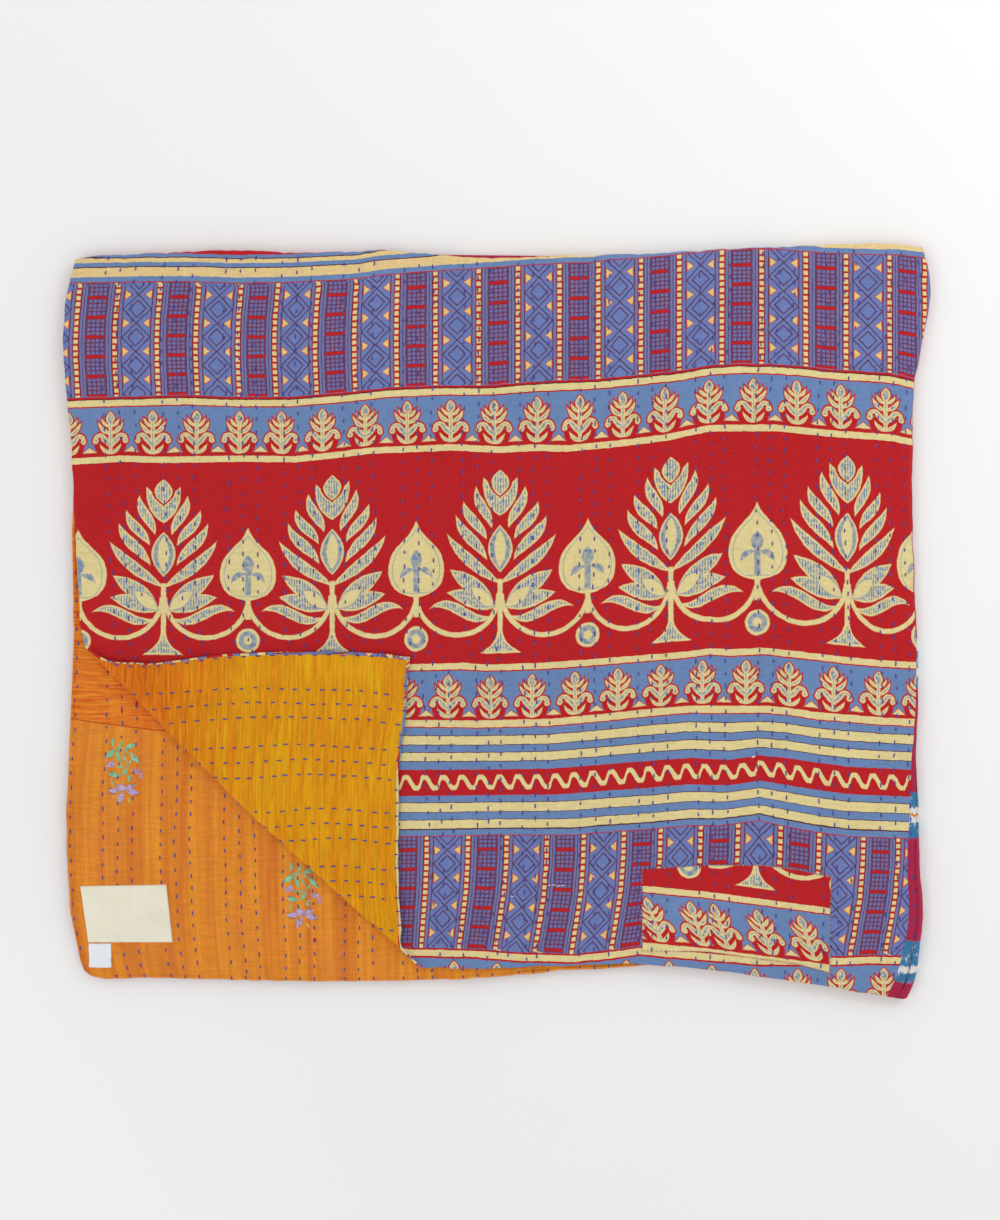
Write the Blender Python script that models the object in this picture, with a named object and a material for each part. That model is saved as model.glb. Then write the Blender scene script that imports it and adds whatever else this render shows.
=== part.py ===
"""A kantha quilt folded in quarters, with the corner of its top layer turned back.

The quilt is laid out as one flat grid of its open width and height. Every point is
then carried through the fold along the top edge, the fold along the right edge and
the turned-back corner, so the four layers and the corner stay one piece of cloth.
Layer 1 is the top layer and layer 4 lies on the floor.
"""

import bmesh
import bpy
import numpy as np

MM = 0.001

# Driving sizes in metres
OPEN_WIDTH = 1.520
OPEN_HEIGHT = 1.288
SHEET = 0.0024
PITCH = 0.0036
CREASE_RADIUS = 0.0032
GROOVE_DEPTH = 0.0005
EDGE_REACH = 0.35
INNER_FOLD_INSET = 0.002

# Half of the sheet and the radii and arc lengths of the two main folds
HALF_SHEET = SHEET / 2
TOP_RADIUS = PITCH / 2
SIDE_RADIUS = 1.5 * PITCH
TOP_ARC = np.pi * TOP_RADIUS
SIDE_ARC = np.pi * SIDE_RADIUS
FLAT_WIDTH = (OPEN_WIDTH - SIDE_ARC) / 2
FLAT_HEIGHT = (OPEN_HEIGHT - TOP_ARC) / 2

# Where the straight left and bottom hems would lie, and the small move that brings the
# middle of the whole outline to the origin
LEFT_HEM_X = -0.3800
BOTTOM_HEM_Y = -0.3110
CENTRING = np.array((0.00037, 0.00018, 0))

# Groups of three stitched rows: middle of each group from the left hem, in millimetres
ROW_GROUPS = (44, 95, 151, 201, 255, 308, 362, 412, 467, 519, 572, 627, 683, 737)
ROW_SPACING = 0.013

# Edge shapes in millimetres. along: distance from the lower left corner of the layer.
# shift: how far the edge stands to the right of, or above, a straight edge.
LEFT_EDGE = {
    1: {
        "along": (0, 16, 61, 110, 168, 240, 268, 282, 296, 330, 384, 437, 473, 509, 545, 590, 612, 630, 643),
        "shift": (31, 28, 23, 21, 21, 24, 20, 12, 7, 4, 1.4, -1.3, -3, -6.6, -9.3, -9.3, -6.6, -3, 0.5),
    },
    2: {
        "along": (0, 7, 25, 61, 97, 150, 186, 240, 280, 330, 401, 473, 545, 598, 643),
        "shift": (8, 5.3, 0.5, -5.5, -7.5, -8.4, -6.6, -2.4, -1.3, -2.2, -2.2, -0.5, -3, -5, 0),
    },
    3: {"along": (0, 300, 643), "shift": (12, 7, 4)},
    4: {"along": (0, 250, 643), "shift": (9, 12, 5)},
}
BOTTOM_EDGE = {
    1: {
        "along": (0, 22, 49, 75, 101, 138, 176, 270, 295, 304, 328, 418, 508, 561, 597, 633, 669, 723, 752),
        "shift": (-4.5, -1.6, 0.3, 4, 8, 11, 12.7, 14, 12, 3, 0, 0.9, 2.7, -1, -5, -10, -15, -24, -28.5),
    },
    2: {
        "along": (0, 6, 17, 63, 109, 155, 200, 246, 320, 364, 400, 436, 472, 517, 561, 650, 752),
        "shift": (-3, -8, -10, -10, -11, -12, -13, -13, -11.6, -10, -7.2, -3.6, -1.8, 1.8, 2.7, -6, -23),
    },
    3: {"along": (0, 380, 560, 650, 752), "shift": (8, 4, 4, -6, -23)},
    4: {"along": (0, 380, 560, 650, 752), "shift": (10, 6, 5, -7, -24)},
}
TOP_EDGE = {
    "upper pair": {
        "along": (0, 24, 60, 131, 203, 239, 275, 311, 346, 382, 436, 508, 561, 615, 687, 741, 752),
        "shift": (-9, -5, -3.5, -0.6, -2.1, -1.2, 0, -2.4, -6, -7.2, -5, -3.4, -0.3, 2, 5.6, 4.8, 3.3),
    },
    "lower pair": {
        "along": (0, 275, 328, 382, 436, 472, 561, 752),
        "shift": (-11, -3, -3.2, -5, -4, -6.5, -3, 2.5),
    },
}
RIGHT_EDGE = {
    "along": (0, 12, 40, 60, 106, 160, 186, 240, 285, 330, 366, 419, 482, 518, 554, 590, 607, 643),
    "shift": (-9, -4, 1.4, 4, 1, -0.4, -2.2, -0.4, -0.4, -3, -3.9, -5.7, -4.8, -3.9, 2.3, 9.5, 11.3, 5),
}

# Ends of the turned-back corner's crease as seen from above, and how far it bows outward
CREASE_START = np.array((-0.3588, -0.0349))
CREASE_END = np.array((-0.0847, -0.2966))
CREASE_BOW = 0.0055
BOW_REACH = 0.045
FLAP_SETTLE = 0.030

# Soft swells and dips of the pile in millimetres
SWELLS = {
    "x": (350, 345, -150, 180, -375, -370, -160, -250, 50, 300, 20, -250, 200),
    "y": (190, -120, 310, 315, 250, 60, -60, -150, -290, -310, 40, 140, 150),
    "reach_x": (55, 50, 200, 220, 40, 35, 90, 80, 160, 80, 160, 120, 90),
    "reach_y": (120, 110, 25, 25, 90, 80, 60, 40, 35, 45, 100, 80, 70),
    "height": (1.5, 1.2, 1.2, 1.0, 2.0, 1.4, 1.6, 1.0, 1.5, 2.2, -0.8, -0.6, 0.7),
}

# Grid of the open cloth. The second layer's rows are millimetres above its bottom hem.
TOP_LAYER_ROWS = 20
SECOND_LAYER_ROWS = (620, 590, 550, 500, 430, 360, 280, 190, 90, 20, 0)
UNDER_COLUMNS = 5
TOP_FOLD_STEPS = 5
SIDE_FOLD_STEPS = 7
CREASE_STEPS = 6
HEM_LINE = 0.008
CUT_SNAP = 0.0008

# Sewn-on pieces: corner points from above in millimetres, left to right
PATCH = {
    "top": ((129.5, -223.1), (188.6, -219.5), (235.2, -219.5), (267.5, -223.1), (298.8, -230.3)),
    "bottom": ((129.5, -295.7), (188.6, -296.6), (235.2, -302.8), (267.5, -307.3), (297.0, -315.4)),
}
LABEL = {
    "top": ((-375.3, -238.3), (-297.9, -237.0)),
    "bottom": ((-368.3, -288.9), (-292.3, -288.9)),
}
CARE_TAG = {
    "top": ((-368.0, -289.9), (-347.7, -289.9)),
    "bottom": ((-367.5, -311.5), (-347.2, -311.8)),
}
PATCH_THICKNESS = 0.0006
LABEL_THICKNESS = 0.0005
PIECE_GAP = 0.0006


def smooth_value(table, position):
    """Value of an edge table at each position, on a smooth curve through its rows."""
    along = np.array(table["along"]) * MM
    shift = np.array(table["shift"]) * MM
    slope = np.gradient(shift, along)
    position = np.clip(position, along[0], along[-1])
    left = np.clip(np.searchsorted(along, position, side="right") - 1, 0, len(along) - 2)
    span = along[left + 1] - along[left]
    t = (position - along[left]) / span
    start = (1 + 2 * t) * (1 - t) ** 2 * shift[left] + t * (1 - t) ** 2 * span * slope[left]
    end = t ** 2 * (3 - 2 * t) * shift[left + 1] - t ** 2 * (1 - t) * span * slope[left + 1]
    return start + end


def fade(distance):
    """Weight of an edge's shape, 1 at the edge and 0 past its reach."""
    return np.clip(1 - distance / EDGE_REACH, 0, 1) ** 2


def fold_station(position, flat, arc):
    """Distance along the folded cloth and turn about the fold, for a place on open cloth."""
    turn = np.clip((position - flat) / arc, 0, 1) * np.pi
    distance = np.where(position > flat + arc, 2 * flat + arc - position, np.minimum(position, flat))
    return distance, turn


def blend_layers(tables, position, upper, front):
    """Edge shift at a place whose weights say which of the four layers it is on."""
    top = front * smooth_value(tables[1], position) + (1 - front) * smooth_value(tables[2], position)
    under = front * smooth_value(tables[4], position) + (1 - front) * smooth_value(tables[3], position)
    return upper * top + (1 - upper) * under


def plan_position(across, up, upper, front):
    """Place seen from above, before the two folds' own roundness."""
    top_edge = upper * smooth_value(TOP_EDGE["upper pair"], across)
    top_edge += (1 - upper) * smooth_value(TOP_EDGE["lower pair"], across)
    x = LEFT_HEM_X + across
    x += blend_layers(LEFT_EDGE, up, upper, front) * fade(across)
    x += (smooth_value(RIGHT_EDGE, up) - (1 - front) * INNER_FOLD_INSET) * fade(FLAT_WIDTH - across)
    y = BOTTOM_HEM_Y + up
    y += blend_layers(BOTTOM_EDGE, across, upper, front) * fade(up)
    y += top_edge * fade(FLAT_HEIGHT - up)
    return x, y


def groove(u):
    """Depth of the stitched rows at a distance from the left hem, 1 on a group of rows."""
    groups = np.array(ROW_GROUPS) * MM
    off_group = np.min(np.abs(u[:, None] - groups[None, :]), axis=1)
    t = np.clip((off_group - ROW_SPACING) / ROW_SPACING, 0, 1)
    near_fold = np.clip((FLAT_WIDTH - u) / ROW_SPACING, 0, 1)
    return (1 - t ** 2 * (3 - 2 * t)) * near_fold


def swell(x, y):
    """Height that the pile's soft swells and dips add at a place."""
    total = np.zeros_like(x)
    for middle_x, middle_y, reach_x, reach_y, height in zip(*SWELLS.values()):
        off_x = (x - middle_x * MM) / (reach_x * MM)
        off_y = (y - middle_y * MM) / (reach_y * MM)
        total += height * MM * np.exp(-off_x ** 2 - off_y ** 2)
    return total


def turn_corner(x, y, w, on_top_layer):
    """Roll the top layer's corner up over its crease, and give the height above the layer."""
    run = CREASE_END - CREASE_START
    length = np.hypot(*run)
    along_crease = run / length
    outward = np.array((along_crease[1], -along_crease[0]))
    line = CREASE_START - outward * (CREASE_RADIUS + HALF_SHEET)
    beyond = (x - line[0]) * outward[0] + (y - line[1]) * outward[1]
    turned = on_top_layer & (beyond > 0)
    angle = np.clip(beyond / CREASE_RADIUS, 0, np.pi)
    slack = np.maximum(beyond - np.pi * CREASE_RADIUS, 0)
    across = np.where(turned, (CREASE_RADIUS - w) * np.sin(angle) - slack, beyond)
    settled = 1 - np.exp(-(slack / FLAP_SETTLE) ** 2)
    rolled = CREASE_RADIUS - (CREASE_RADIUS - w) * np.cos(angle)
    rolled -= (2 * CREASE_RADIUS - PITCH) * settled
    share = ((x - CREASE_START[0]) * along_crease[0] + (y - CREASE_START[1]) * along_crease[1]) / length
    bow = CREASE_BOW * np.sin(np.pi * np.clip(share, 0, 1)) * np.exp(-(across / BOW_REACH) ** 2)
    move = np.where(turned, across - beyond, 0) + np.where(on_top_layer, bow, 0)
    height = np.where(turned, rolled, w)
    return x + move * outward[0], y + move * outward[1], height


def place(u, v, side):
    """Points of the folded quilt. side is 1 on the printed side and -1 on the backing."""
    across, side_turn = fold_station(u, FLAT_WIDTH, SIDE_ARC)
    up, top_turn = fold_station(v, FLAT_HEIGHT, TOP_ARC)
    upper = (1 + np.cos(side_turn)) / 2
    front = (1 + np.cos(top_turn)) / 2
    w = side * (HALF_SHEET - GROOVE_DEPTH * groove(u))
    x, y = plan_position(across, up, upper, front)
    on_top_layer = (side_turn == 0) & (top_turn == 0)
    x, y, corner_height = turn_corner(x, y, w, on_top_layer)
    y += (TOP_RADIUS + w) * np.sin(top_turn)
    fold_height = (TOP_RADIUS + w) * np.cos(top_turn) - TOP_RADIUS
    height = np.where(on_top_layer, corner_height, fold_height)
    x += (SIDE_RADIUS + height) * np.sin(side_turn)
    middle = TOP_RADIUS * (np.cos(top_turn) - 1)
    level = (SIDE_RADIUS + (SIDE_RADIUS + middle) * np.cos(side_turn)) / (2 * SIDE_RADIUS)
    z = HALF_SHEET + SIDE_RADIUS + (SIDE_RADIUS + height) * np.cos(side_turn)
    z += swell(x, y) * level
    return np.column_stack((x, y, z)) + CENTRING


def column_lines():
    """Distances of the grid's columns from the left hem of the open cloth."""
    groups = np.array(ROW_GROUPS) * MM
    between = (groups[1:] + groups[:-1]) / 2
    top = np.concatenate(([0, HEM_LINE], groups - ROW_SPACING, groups + ROW_SPACING, between))
    top = np.unique(top[top < FLAT_WIDTH - HEM_LINE / 2])
    fold = FLAT_WIDTH + SIDE_ARC * np.linspace(0, 1, SIDE_FOLD_STEPS + 1)
    under = np.linspace(FLAT_WIDTH + SIDE_ARC, OPEN_WIDTH, UNDER_COLUMNS + 1)[1:]
    return np.concatenate((top, fold, under))


def row_lines():
    """Distances of the grid's rows from the bottom hem of the open cloth."""
    top = np.concatenate(([0], np.linspace(HEM_LINE, FLAT_HEIGHT, TOP_LAYER_ROWS)[:-1]))
    fold = FLAT_HEIGHT + TOP_ARC * np.linspace(0, 1, TOP_FOLD_STEPS + 1)
    second = OPEN_HEIGHT - np.array(SECOND_LAYER_ROWS) * MM
    return np.concatenate((top, fold, second))


def open_cloth(columns, rows):
    """Flat grid of the open cloth. Its u and v layers keep each point's place on the cloth."""
    cloth = bmesh.new()
    u_layer = cloth.verts.layers.float.new("u")
    v_layer = cloth.verts.layers.float.new("v")
    grid = []
    for v in rows:
        line = []
        for u in columns:
            vert = cloth.verts.new((u, v, 0))
            vert[u_layer] = u
            vert[v_layer] = v
            line.append(vert)
        grid.append(line)
    for low, high in zip(grid, grid[1:]):
        for step in range(len(columns) - 1):
            cloth.faces.new((low[step], low[step + 1], high[step + 1], high[step]))
    return cloth, u_layer, v_layer


def cut_crease(cloth, u_layer, v_layer):
    """Cut the top layer's grid along lines beside the crease, so that it rolls smoothly."""
    slack = 1e-6
    verts = [vert for vert in cloth.verts
             if vert[u_layer] <= FLAT_WIDTH + slack and vert[v_layer] <= FLAT_HEIGHT + slack]
    u = np.array([vert[u_layer] for vert in verts])
    v = np.array([vert[v_layer] for vert in verts])
    x, y = plan_position(u, v, np.ones_like(u), np.ones_like(u))
    for vert, plan_x, plan_y in zip(verts, x, y):
        vert.co = (plan_x, plan_y, 0)
    run = CREASE_END - CREASE_START
    along_crease = run / np.hypot(*run)
    outward = np.array((along_crease[1], -along_crease[0]))
    line = CREASE_START - outward * (CREASE_RADIUS + HALF_SHEET)
    roll = np.pi * CREASE_RADIUS
    cuts_on_roll = roll * np.linspace(0, 1, CREASE_STEPS + 1)
    cuts_past_roll = roll + FLAP_SETTLE * np.array((0.5, 1.2))
    for distance in np.concatenate((cuts_on_roll, cuts_past_roll)):
        point = line + outward * distance
        faces = [face for face in cloth.faces
                 if all(vert[u_layer] <= FLAT_WIDTH + slack and vert[v_layer] <= FLAT_HEIGHT + slack
                        for vert in face.verts)]
        edges = {edge for face in faces for edge in face.edges}
        corners = {vert for face in faces for vert in face.verts}
        bmesh.ops.bisect_plane(
            cloth, geom=list(corners) + list(edges) + faces, dist=CUT_SNAP,
            plane_co=(point[0], point[1], 0), plane_no=(outward[0], outward[1], 0))


def two_sided(name, flat, upper_points, lower_points):
    """Closed object from a flat mesh: its upper and lower points and a rim round its edge."""
    count = len(upper_points)
    faces = []
    for face in flat.faces:
        loop = [vert.index for vert in face.verts]
        faces.append(loop)
        faces.append([index + count for index in reversed(loop)])
    for edge in flat.edges:
        if edge.is_boundary:
            loop = edge.link_loops[0]
            start = loop.vert.index
            end = loop.link_loop_next.vert.index
            faces.append([start, start + count, end + count, end])
    mesh = bpy.data.meshes.new(name)
    mesh.from_pydata(np.vstack((upper_points, lower_points)).tolist(), [], faces)
    mesh.validate()
    mesh.shade_smooth()
    thing = bpy.data.objects.new(name, mesh)
    bpy.context.collection.objects.link(thing)
    return thing


def build_quilt():
    """The folded quilt as one closed solid."""
    cloth, u_layer, v_layer = open_cloth(column_lines(), row_lines())
    cut_crease(cloth, u_layer, v_layer)
    bmesh.ops.triangulate(cloth, faces=cloth.faces[:])
    cloth.verts.index_update()
    u = np.array([vert[u_layer] for vert in cloth.verts])
    v = np.array([vert[v_layer] for vert in cloth.verts])
    quilt = two_sided("quilt", cloth, place(u, v, 1), place(u, v, -1))
    cloth.free()
    return quilt


def cloth_place(layer, x, y):
    """Distances u and v on the open cloth of places seen from above on layer 1 or 2."""
    front = np.ones_like(x) if layer == 1 else np.zeros_like(x)
    across = x - LEFT_HEM_X
    up = y - BOTTOM_HEM_Y
    for _ in range(8):
        plan_x, plan_y = plan_position(across, up, np.ones_like(x), front)
        across = across + x - plan_x
        up = up + y - plan_y
    return across, up if layer == 1 else OPEN_HEIGHT - up


def sewn_piece(name, outline, layer, thickness, columns, rows):
    """Thin piece laid on a layer's upper side, a little above it."""
    share = np.linspace(0, 1, columns + 1)
    top = np.array(outline["top"]) * MM
    bottom = np.array(outline["bottom"]) * MM
    stations = np.linspace(0, 1, len(top))
    piece = bmesh.new()
    grid = []
    points = []
    for down in np.linspace(1, 0, rows + 1):
        edge = (1 - down) * top + down * bottom
        x = np.interp(share, stations, edge[:, 0])
        y = np.interp(share, stations, edge[:, 1])
        u, v = cloth_place(layer, x, y)
        line = place(u, v, 1 if layer == 1 else -1)
        grid.append([piece.verts.new(point) for point in line])
        points.append(line)
    for low, high in zip(grid, grid[1:]):
        for step in range(columns):
            piece.faces.new((low[step], low[step + 1], high[step + 1], high[step]))
    piece.verts.index_update()
    under = np.vstack(points) + (0, 0, PIECE_GAP)
    thing = two_sided(name, piece, under + (0, 0, thickness), under)
    piece.free()
    return thing


def cloth_material(name, colour):
    """Matt cotton of one colour."""
    material = bpy.data.materials.new(name)
    material.use_nodes = True
    shader = material.node_tree.nodes["Principled BSDF"]
    shader.inputs["Base Color"].default_value = (*colour, 1)
    shader.inputs["Roughness"].default_value = 0.85
    shader.inputs["Metallic"].default_value = 0
    return material


for old in list(bpy.data.objects):
    bpy.data.objects.remove(old, do_unlink=True)

build_quilt().data.materials.append(cloth_material("printed cotton", (0.42, 0.05, 0.06)))
patch = sewn_piece("print_patch", PATCH, 1, PATCH_THICKNESS, 14, 5)
patch.data.materials.append(cloth_material("patch cotton", (0.20, 0.26, 0.50)))
label = sewn_piece("label", LABEL, 2, LABEL_THICKNESS, 7, 3)
label.data.materials.append(cloth_material("label cotton", (0.85, 0.82, 0.70)))
care_tag = sewn_piece("care_tag", CARE_TAG, 2, LABEL_THICKNESS, 3, 2)
care_tag.data.materials.append(cloth_material("tag satin", (0.88, 0.88, 0.86)))
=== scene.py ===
"""A kantha quilt folded in quarters, with the corner of its top layer turned back.

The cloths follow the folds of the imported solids, from the same sizes: every point has a
place on the open cloth, u from the left hem and v from the bottom hem, and is carried
through the fold at the top, the fold at the right and the turned-back corner. Layer 1 is
the top layer and layer 4 lies on the floor. The stitched rows run along v.
"""

import bmesh
import bpy
import numpy as np
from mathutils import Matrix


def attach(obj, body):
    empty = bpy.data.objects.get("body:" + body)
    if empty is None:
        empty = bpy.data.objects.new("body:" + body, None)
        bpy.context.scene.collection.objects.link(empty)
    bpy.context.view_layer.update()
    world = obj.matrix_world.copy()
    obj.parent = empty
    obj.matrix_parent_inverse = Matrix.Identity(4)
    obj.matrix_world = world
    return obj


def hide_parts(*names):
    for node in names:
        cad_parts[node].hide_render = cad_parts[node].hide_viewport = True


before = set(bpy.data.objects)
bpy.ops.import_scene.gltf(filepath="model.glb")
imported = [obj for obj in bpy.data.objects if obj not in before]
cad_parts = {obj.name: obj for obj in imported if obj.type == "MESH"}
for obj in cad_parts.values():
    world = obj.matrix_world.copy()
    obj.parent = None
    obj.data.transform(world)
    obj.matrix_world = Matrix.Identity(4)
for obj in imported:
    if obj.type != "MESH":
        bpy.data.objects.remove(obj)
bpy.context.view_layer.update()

MM = 0.001

# Sizes of the folded cloth, in metres, as in the solids
OPEN_WIDTH = 1.520
OPEN_HEIGHT = 1.288
SHEET = 0.0024
PITCH = 0.0036
CREASE_RADIUS = 0.0032
EDGE_REACH = 0.35
INNER_FOLD_INSET = 0.002
HALF_SHEET = SHEET / 2
TOP_RADIUS = PITCH / 2
SIDE_RADIUS = 1.5 * PITCH
TOP_ARC = np.pi * TOP_RADIUS
SIDE_ARC = np.pi * SIDE_RADIUS
FLAT_WIDTH = (OPEN_WIDTH - SIDE_ARC) / 2
FLAT_HEIGHT = (OPEN_HEIGHT - TOP_ARC) / 2
LEFT_HEM_X = -0.3800
BOTTOM_HEM_Y = -0.3110
CENTRING = np.array((0.00037, 0.00018, 0))

# Groups of three stitched rows: middle of each group from the left hem, in millimetres
ROW_GROUPS = (44, 95, 151, 201, 255, 308, 362, 412, 467, 519, 572, 627, 683, 737)
ROW_SPACING = 0.013

# Edge shapes in millimetres. along: distance from the lower left corner of the layer.
# shift: how far the edge stands to the right of, or above, a straight edge.
LEFT_EDGE = {
    1: {
        "along": (0, 16, 61, 110, 168, 240, 268, 282, 296, 330, 384, 437, 473, 509, 545, 590,
                  612, 630, 643),
        "shift": (31, 28, 23, 21, 21, 24, 20, 12, 7, 4, 1.4, -1.3, -3, -6.6, -9.3, -9.3, -6.6, -3, 0.5),
    },
    2: {
        "along": (0, 7, 25, 61, 97, 150, 186, 240, 280, 330, 401, 473, 545, 598, 643),
        "shift": (8, 5.3, 0.5, -5.5, -7.5, -8.4, -6.6, -2.4, -1.3, -2.2, -2.2, -0.5, -3, -5, 0),
    },
    3: {"along": (0, 300, 643), "shift": (12, 7, 4)},
    4: {"along": (0, 250, 643), "shift": (9, 12, 5)},
}
BOTTOM_EDGE = {
    1: {
        "along": (0, 22, 49, 75, 101, 138, 176, 270, 295, 304, 328, 418, 508, 561, 597, 633, 669,
                  723, 752),
        "shift": (-4.5, -1.6, 0.3, 4, 8, 11, 12.7, 14, 12, 3, 0, 0.9, 2.7, -1, -5, -10, -15, -24,
                  -28.5),
    },
    2: {
        "along": (0, 6, 17, 63, 109, 155, 200, 246, 320, 364, 400, 436, 472, 517, 561, 650, 752),
        "shift": (-3, -8, -10, -10, -11, -12, -13, -13, -11.6, -10, -7.2, -3.6, -1.8, 1.8, 2.7,
                  -6, -23),
    },
    3: {"along": (0, 380, 560, 650, 752), "shift": (8, 4, 4, -6, -23)},
    4: {"along": (0, 380, 560, 650, 752), "shift": (10, 6, 5, -7, -24)},
}
TOP_EDGE = {
    "upper pair": {
        "along": (0, 24, 60, 131, 203, 239, 275, 311, 346, 382, 436, 508, 561, 615, 687, 741, 752),
        "shift": (-9, -5, -3.5, -0.6, -2.1, -1.2, 0, -2.4, -6, -7.2, -5, -3.4, -0.3, 2, 5.6, 4.8, 3.3),
    },
    "lower pair": {
        "along": (0, 275, 328, 382, 436, 472, 561, 752),
        "shift": (-11, -3, -3.2, -5, -4, -6.5, -3, 2.5),
    },
}
RIGHT_EDGE = {
    "along": (0, 12, 40, 60, 106, 160, 186, 240, 285, 330, 366, 419, 482, 518, 554, 590, 607, 643),
    "shift": (-9, -4, 1.4, 4, 1, -0.4, -2.2, -0.4, -0.4, -3, -3.9, -5.7, -4.8, -3.9, 2.3, 9.5, 11.3, 5),
}

# Crease of the turned-back corner, as seen from above
CREASE_START = np.array((-0.3588, -0.0349))
CREASE_END = np.array((-0.0847, -0.2966))
CREASE_BOW = 0.0055
BOW_REACH = 0.045
FLAP_SETTLE = 0.030
CREASE_LENGTH = np.hypot(*(CREASE_END - CREASE_START))
CREASE_ALONG = (CREASE_END - CREASE_START) / CREASE_LENGTH
CREASE_OUTWARD = np.array((CREASE_ALONG[1], -CREASE_ALONG[0]))
ROLL_START = CREASE_START - CREASE_OUTWARD * (CREASE_RADIUS + HALF_SHEET)
ROLL = np.pi * CREASE_RADIUS

# Soft swells and dips of the pile in millimetres
SWELLS = {
    "x": (350, 345, -150, 180, -375, -370, -160, -250, 50, 300, 20, -250, 200),
    "y": (190, -120, 310, 315, 250, 60, -60, -150, -290, -310, 40, 140, 150),
    "reach_x": (55, 50, 200, 220, 40, 35, 90, 80, 160, 80, 160, 120, 90),
    "reach_y": (120, 110, 25, 25, 90, 80, 60, 40, 35, 45, 100, 80, 70),
    "height": (1.5, 1.2, 1.2, 1.0, 2.0, 1.4, 1.6, 1.0, 1.5, 2.2, -0.8, -0.6, 0.7),
}

# Sewn-on pieces: corner points from above in millimetres, left to right
PATCH = {
    "top": ((129.5, -223.1), (188.6, -219.5), (235.2, -219.5), (267.5, -223.1), (298.8, -230.3)),
    "bottom": ((129.5, -295.7), (188.6, -296.6), (235.2, -302.8), (267.5, -307.3), (297.0, -315.4)),
}
LABEL = {
    "top": ((-375.3, -238.3), (-297.9, -237.0)),
    "bottom": ((-368.3, -288.9), (-292.3, -288.9)),
}
CARE_TAG = {
    "top": ((-368.0, -289.9), (-347.7, -289.9)),
    "bottom": ((-367.5, -311.5), (-347.2, -311.8)),
}
PATCH_THICKNESS = 0.0006
LABEL_THICKNESS = 0.0005
PIECE_GAP = 0.0006

# Cuts of the cloths. The print is seamed to the plain crimson cloth along a line by the
# right fold, in millimetres from the left hem and at distances up from the bottom hem.
SEAM_LINE = {
    "along": (0, 30, 52, 115, 160, 205, 294, 640),
    "shift": (737, 741.5, 744, 746.5, 750.5, 754, 756.6, 760),
}
SEAM_START = 0.7440
SEAM_BEND = 0.030
GOLD_WIDTH = 0.400
GOLD_HEIGHT = 0.420

# Lines of the print as they lie on layer 1, in print units of 0.896 mm, right and down.
# level: where the line stands on the straight print. x, y: where it lies.
UNIT = 0.000896
UNIT_ORIGIN = (497.5, 621)
PRINT_LINES = (
    {
        "level": 283.7,
        "x": (76, 137, 194, 235, 290, 350, 390, 440, 490, 540, 590, 625, 675, 700, 725, 775, 825,
              875, 900, 925),
        "y": (283, 281.5, 281.4, 283, 282, 279, 274, 270.4, 267.6, 264.4, 262, 258.8, 254.5, 252,
              250, 248.8,
              252.5, 254.5, 254.5, 257.5),
    },
    {
        "level": 404.3,
        "x": (70, 183, 235, 290, 350, 390, 440, 490, 540, 600, 640, 680, 710, 740, 770, 800, 830,
              860, 890, 920),
        "y": (404.3, 401, 403, 403, 398, 393.6, 391.4, 391.4, 387.4, 385, 381, 377, 371.3, 369.5,
              370, 372,
              375.5, 377.5, 379.5, 386),
    },
    {
        "level": 461,
        "x": (73, 122, 163, 235, 295, 339, 368, 454, 500, 533, 568, 627, 666, 710, 774, 833, 892, 910),
        "y": (461, 458, 459.4, 458, 458.6, 454, 450, 446.6, 449, 447, 448, 442, 437, 427.5, 427,
              433, 437, 441),
    },
    {
        "level": 667,
        "x": (60, 415, 462, 487, 540, 575, 612, 650, 687, 710, 730, 764, 786, 818, 850, 880, 916),
        "y": (668, 667.5, 666.3, 668, 666.3, 663.8, 661, 658, 655, 651.6, 653, 651, 653.6, 657,
              661, 663.6, 665.6),
    },
    {
        "level": 723.3,
        "x": (60, 415, 475, 550, 600, 650, 690, 720, 764, 786, 818, 850, 880, 916),
        "y": (723, 723, 723.8, 722, 717.5, 712, 708.6, 709, 709, 710.6, 715.6, 718, 720.6, 722.4),
    },
    {
        "level": 769.7,
        "x": (60, 425, 500, 550, 600, 650, 690, 730, 760, 786, 818, 850, 914),
        "y": (770, 770, 769.5, 768.8, 765, 761, 758, 760, 755.4, 758, 763, 767, 770),
    },
    {
        "level": 836.7,
        "x": (60, 425, 500, 575, 600, 650, 690, 720, 760, 786, 818, 850, 910),
        "y": (837, 836.8, 835.5, 835.5, 833, 830, 826, 826, 821, 827, 833, 837, 839),
    },
    {
        "level": 956,
        "x": (60, 425, 475, 525, 575, 612, 640, 760, 840, 870, 900),
        "y": (952, 952.5, 953.8, 957.5, 958.8, 955, 951, 961, 961, 959.6, 960.4),
    },
)

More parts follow.
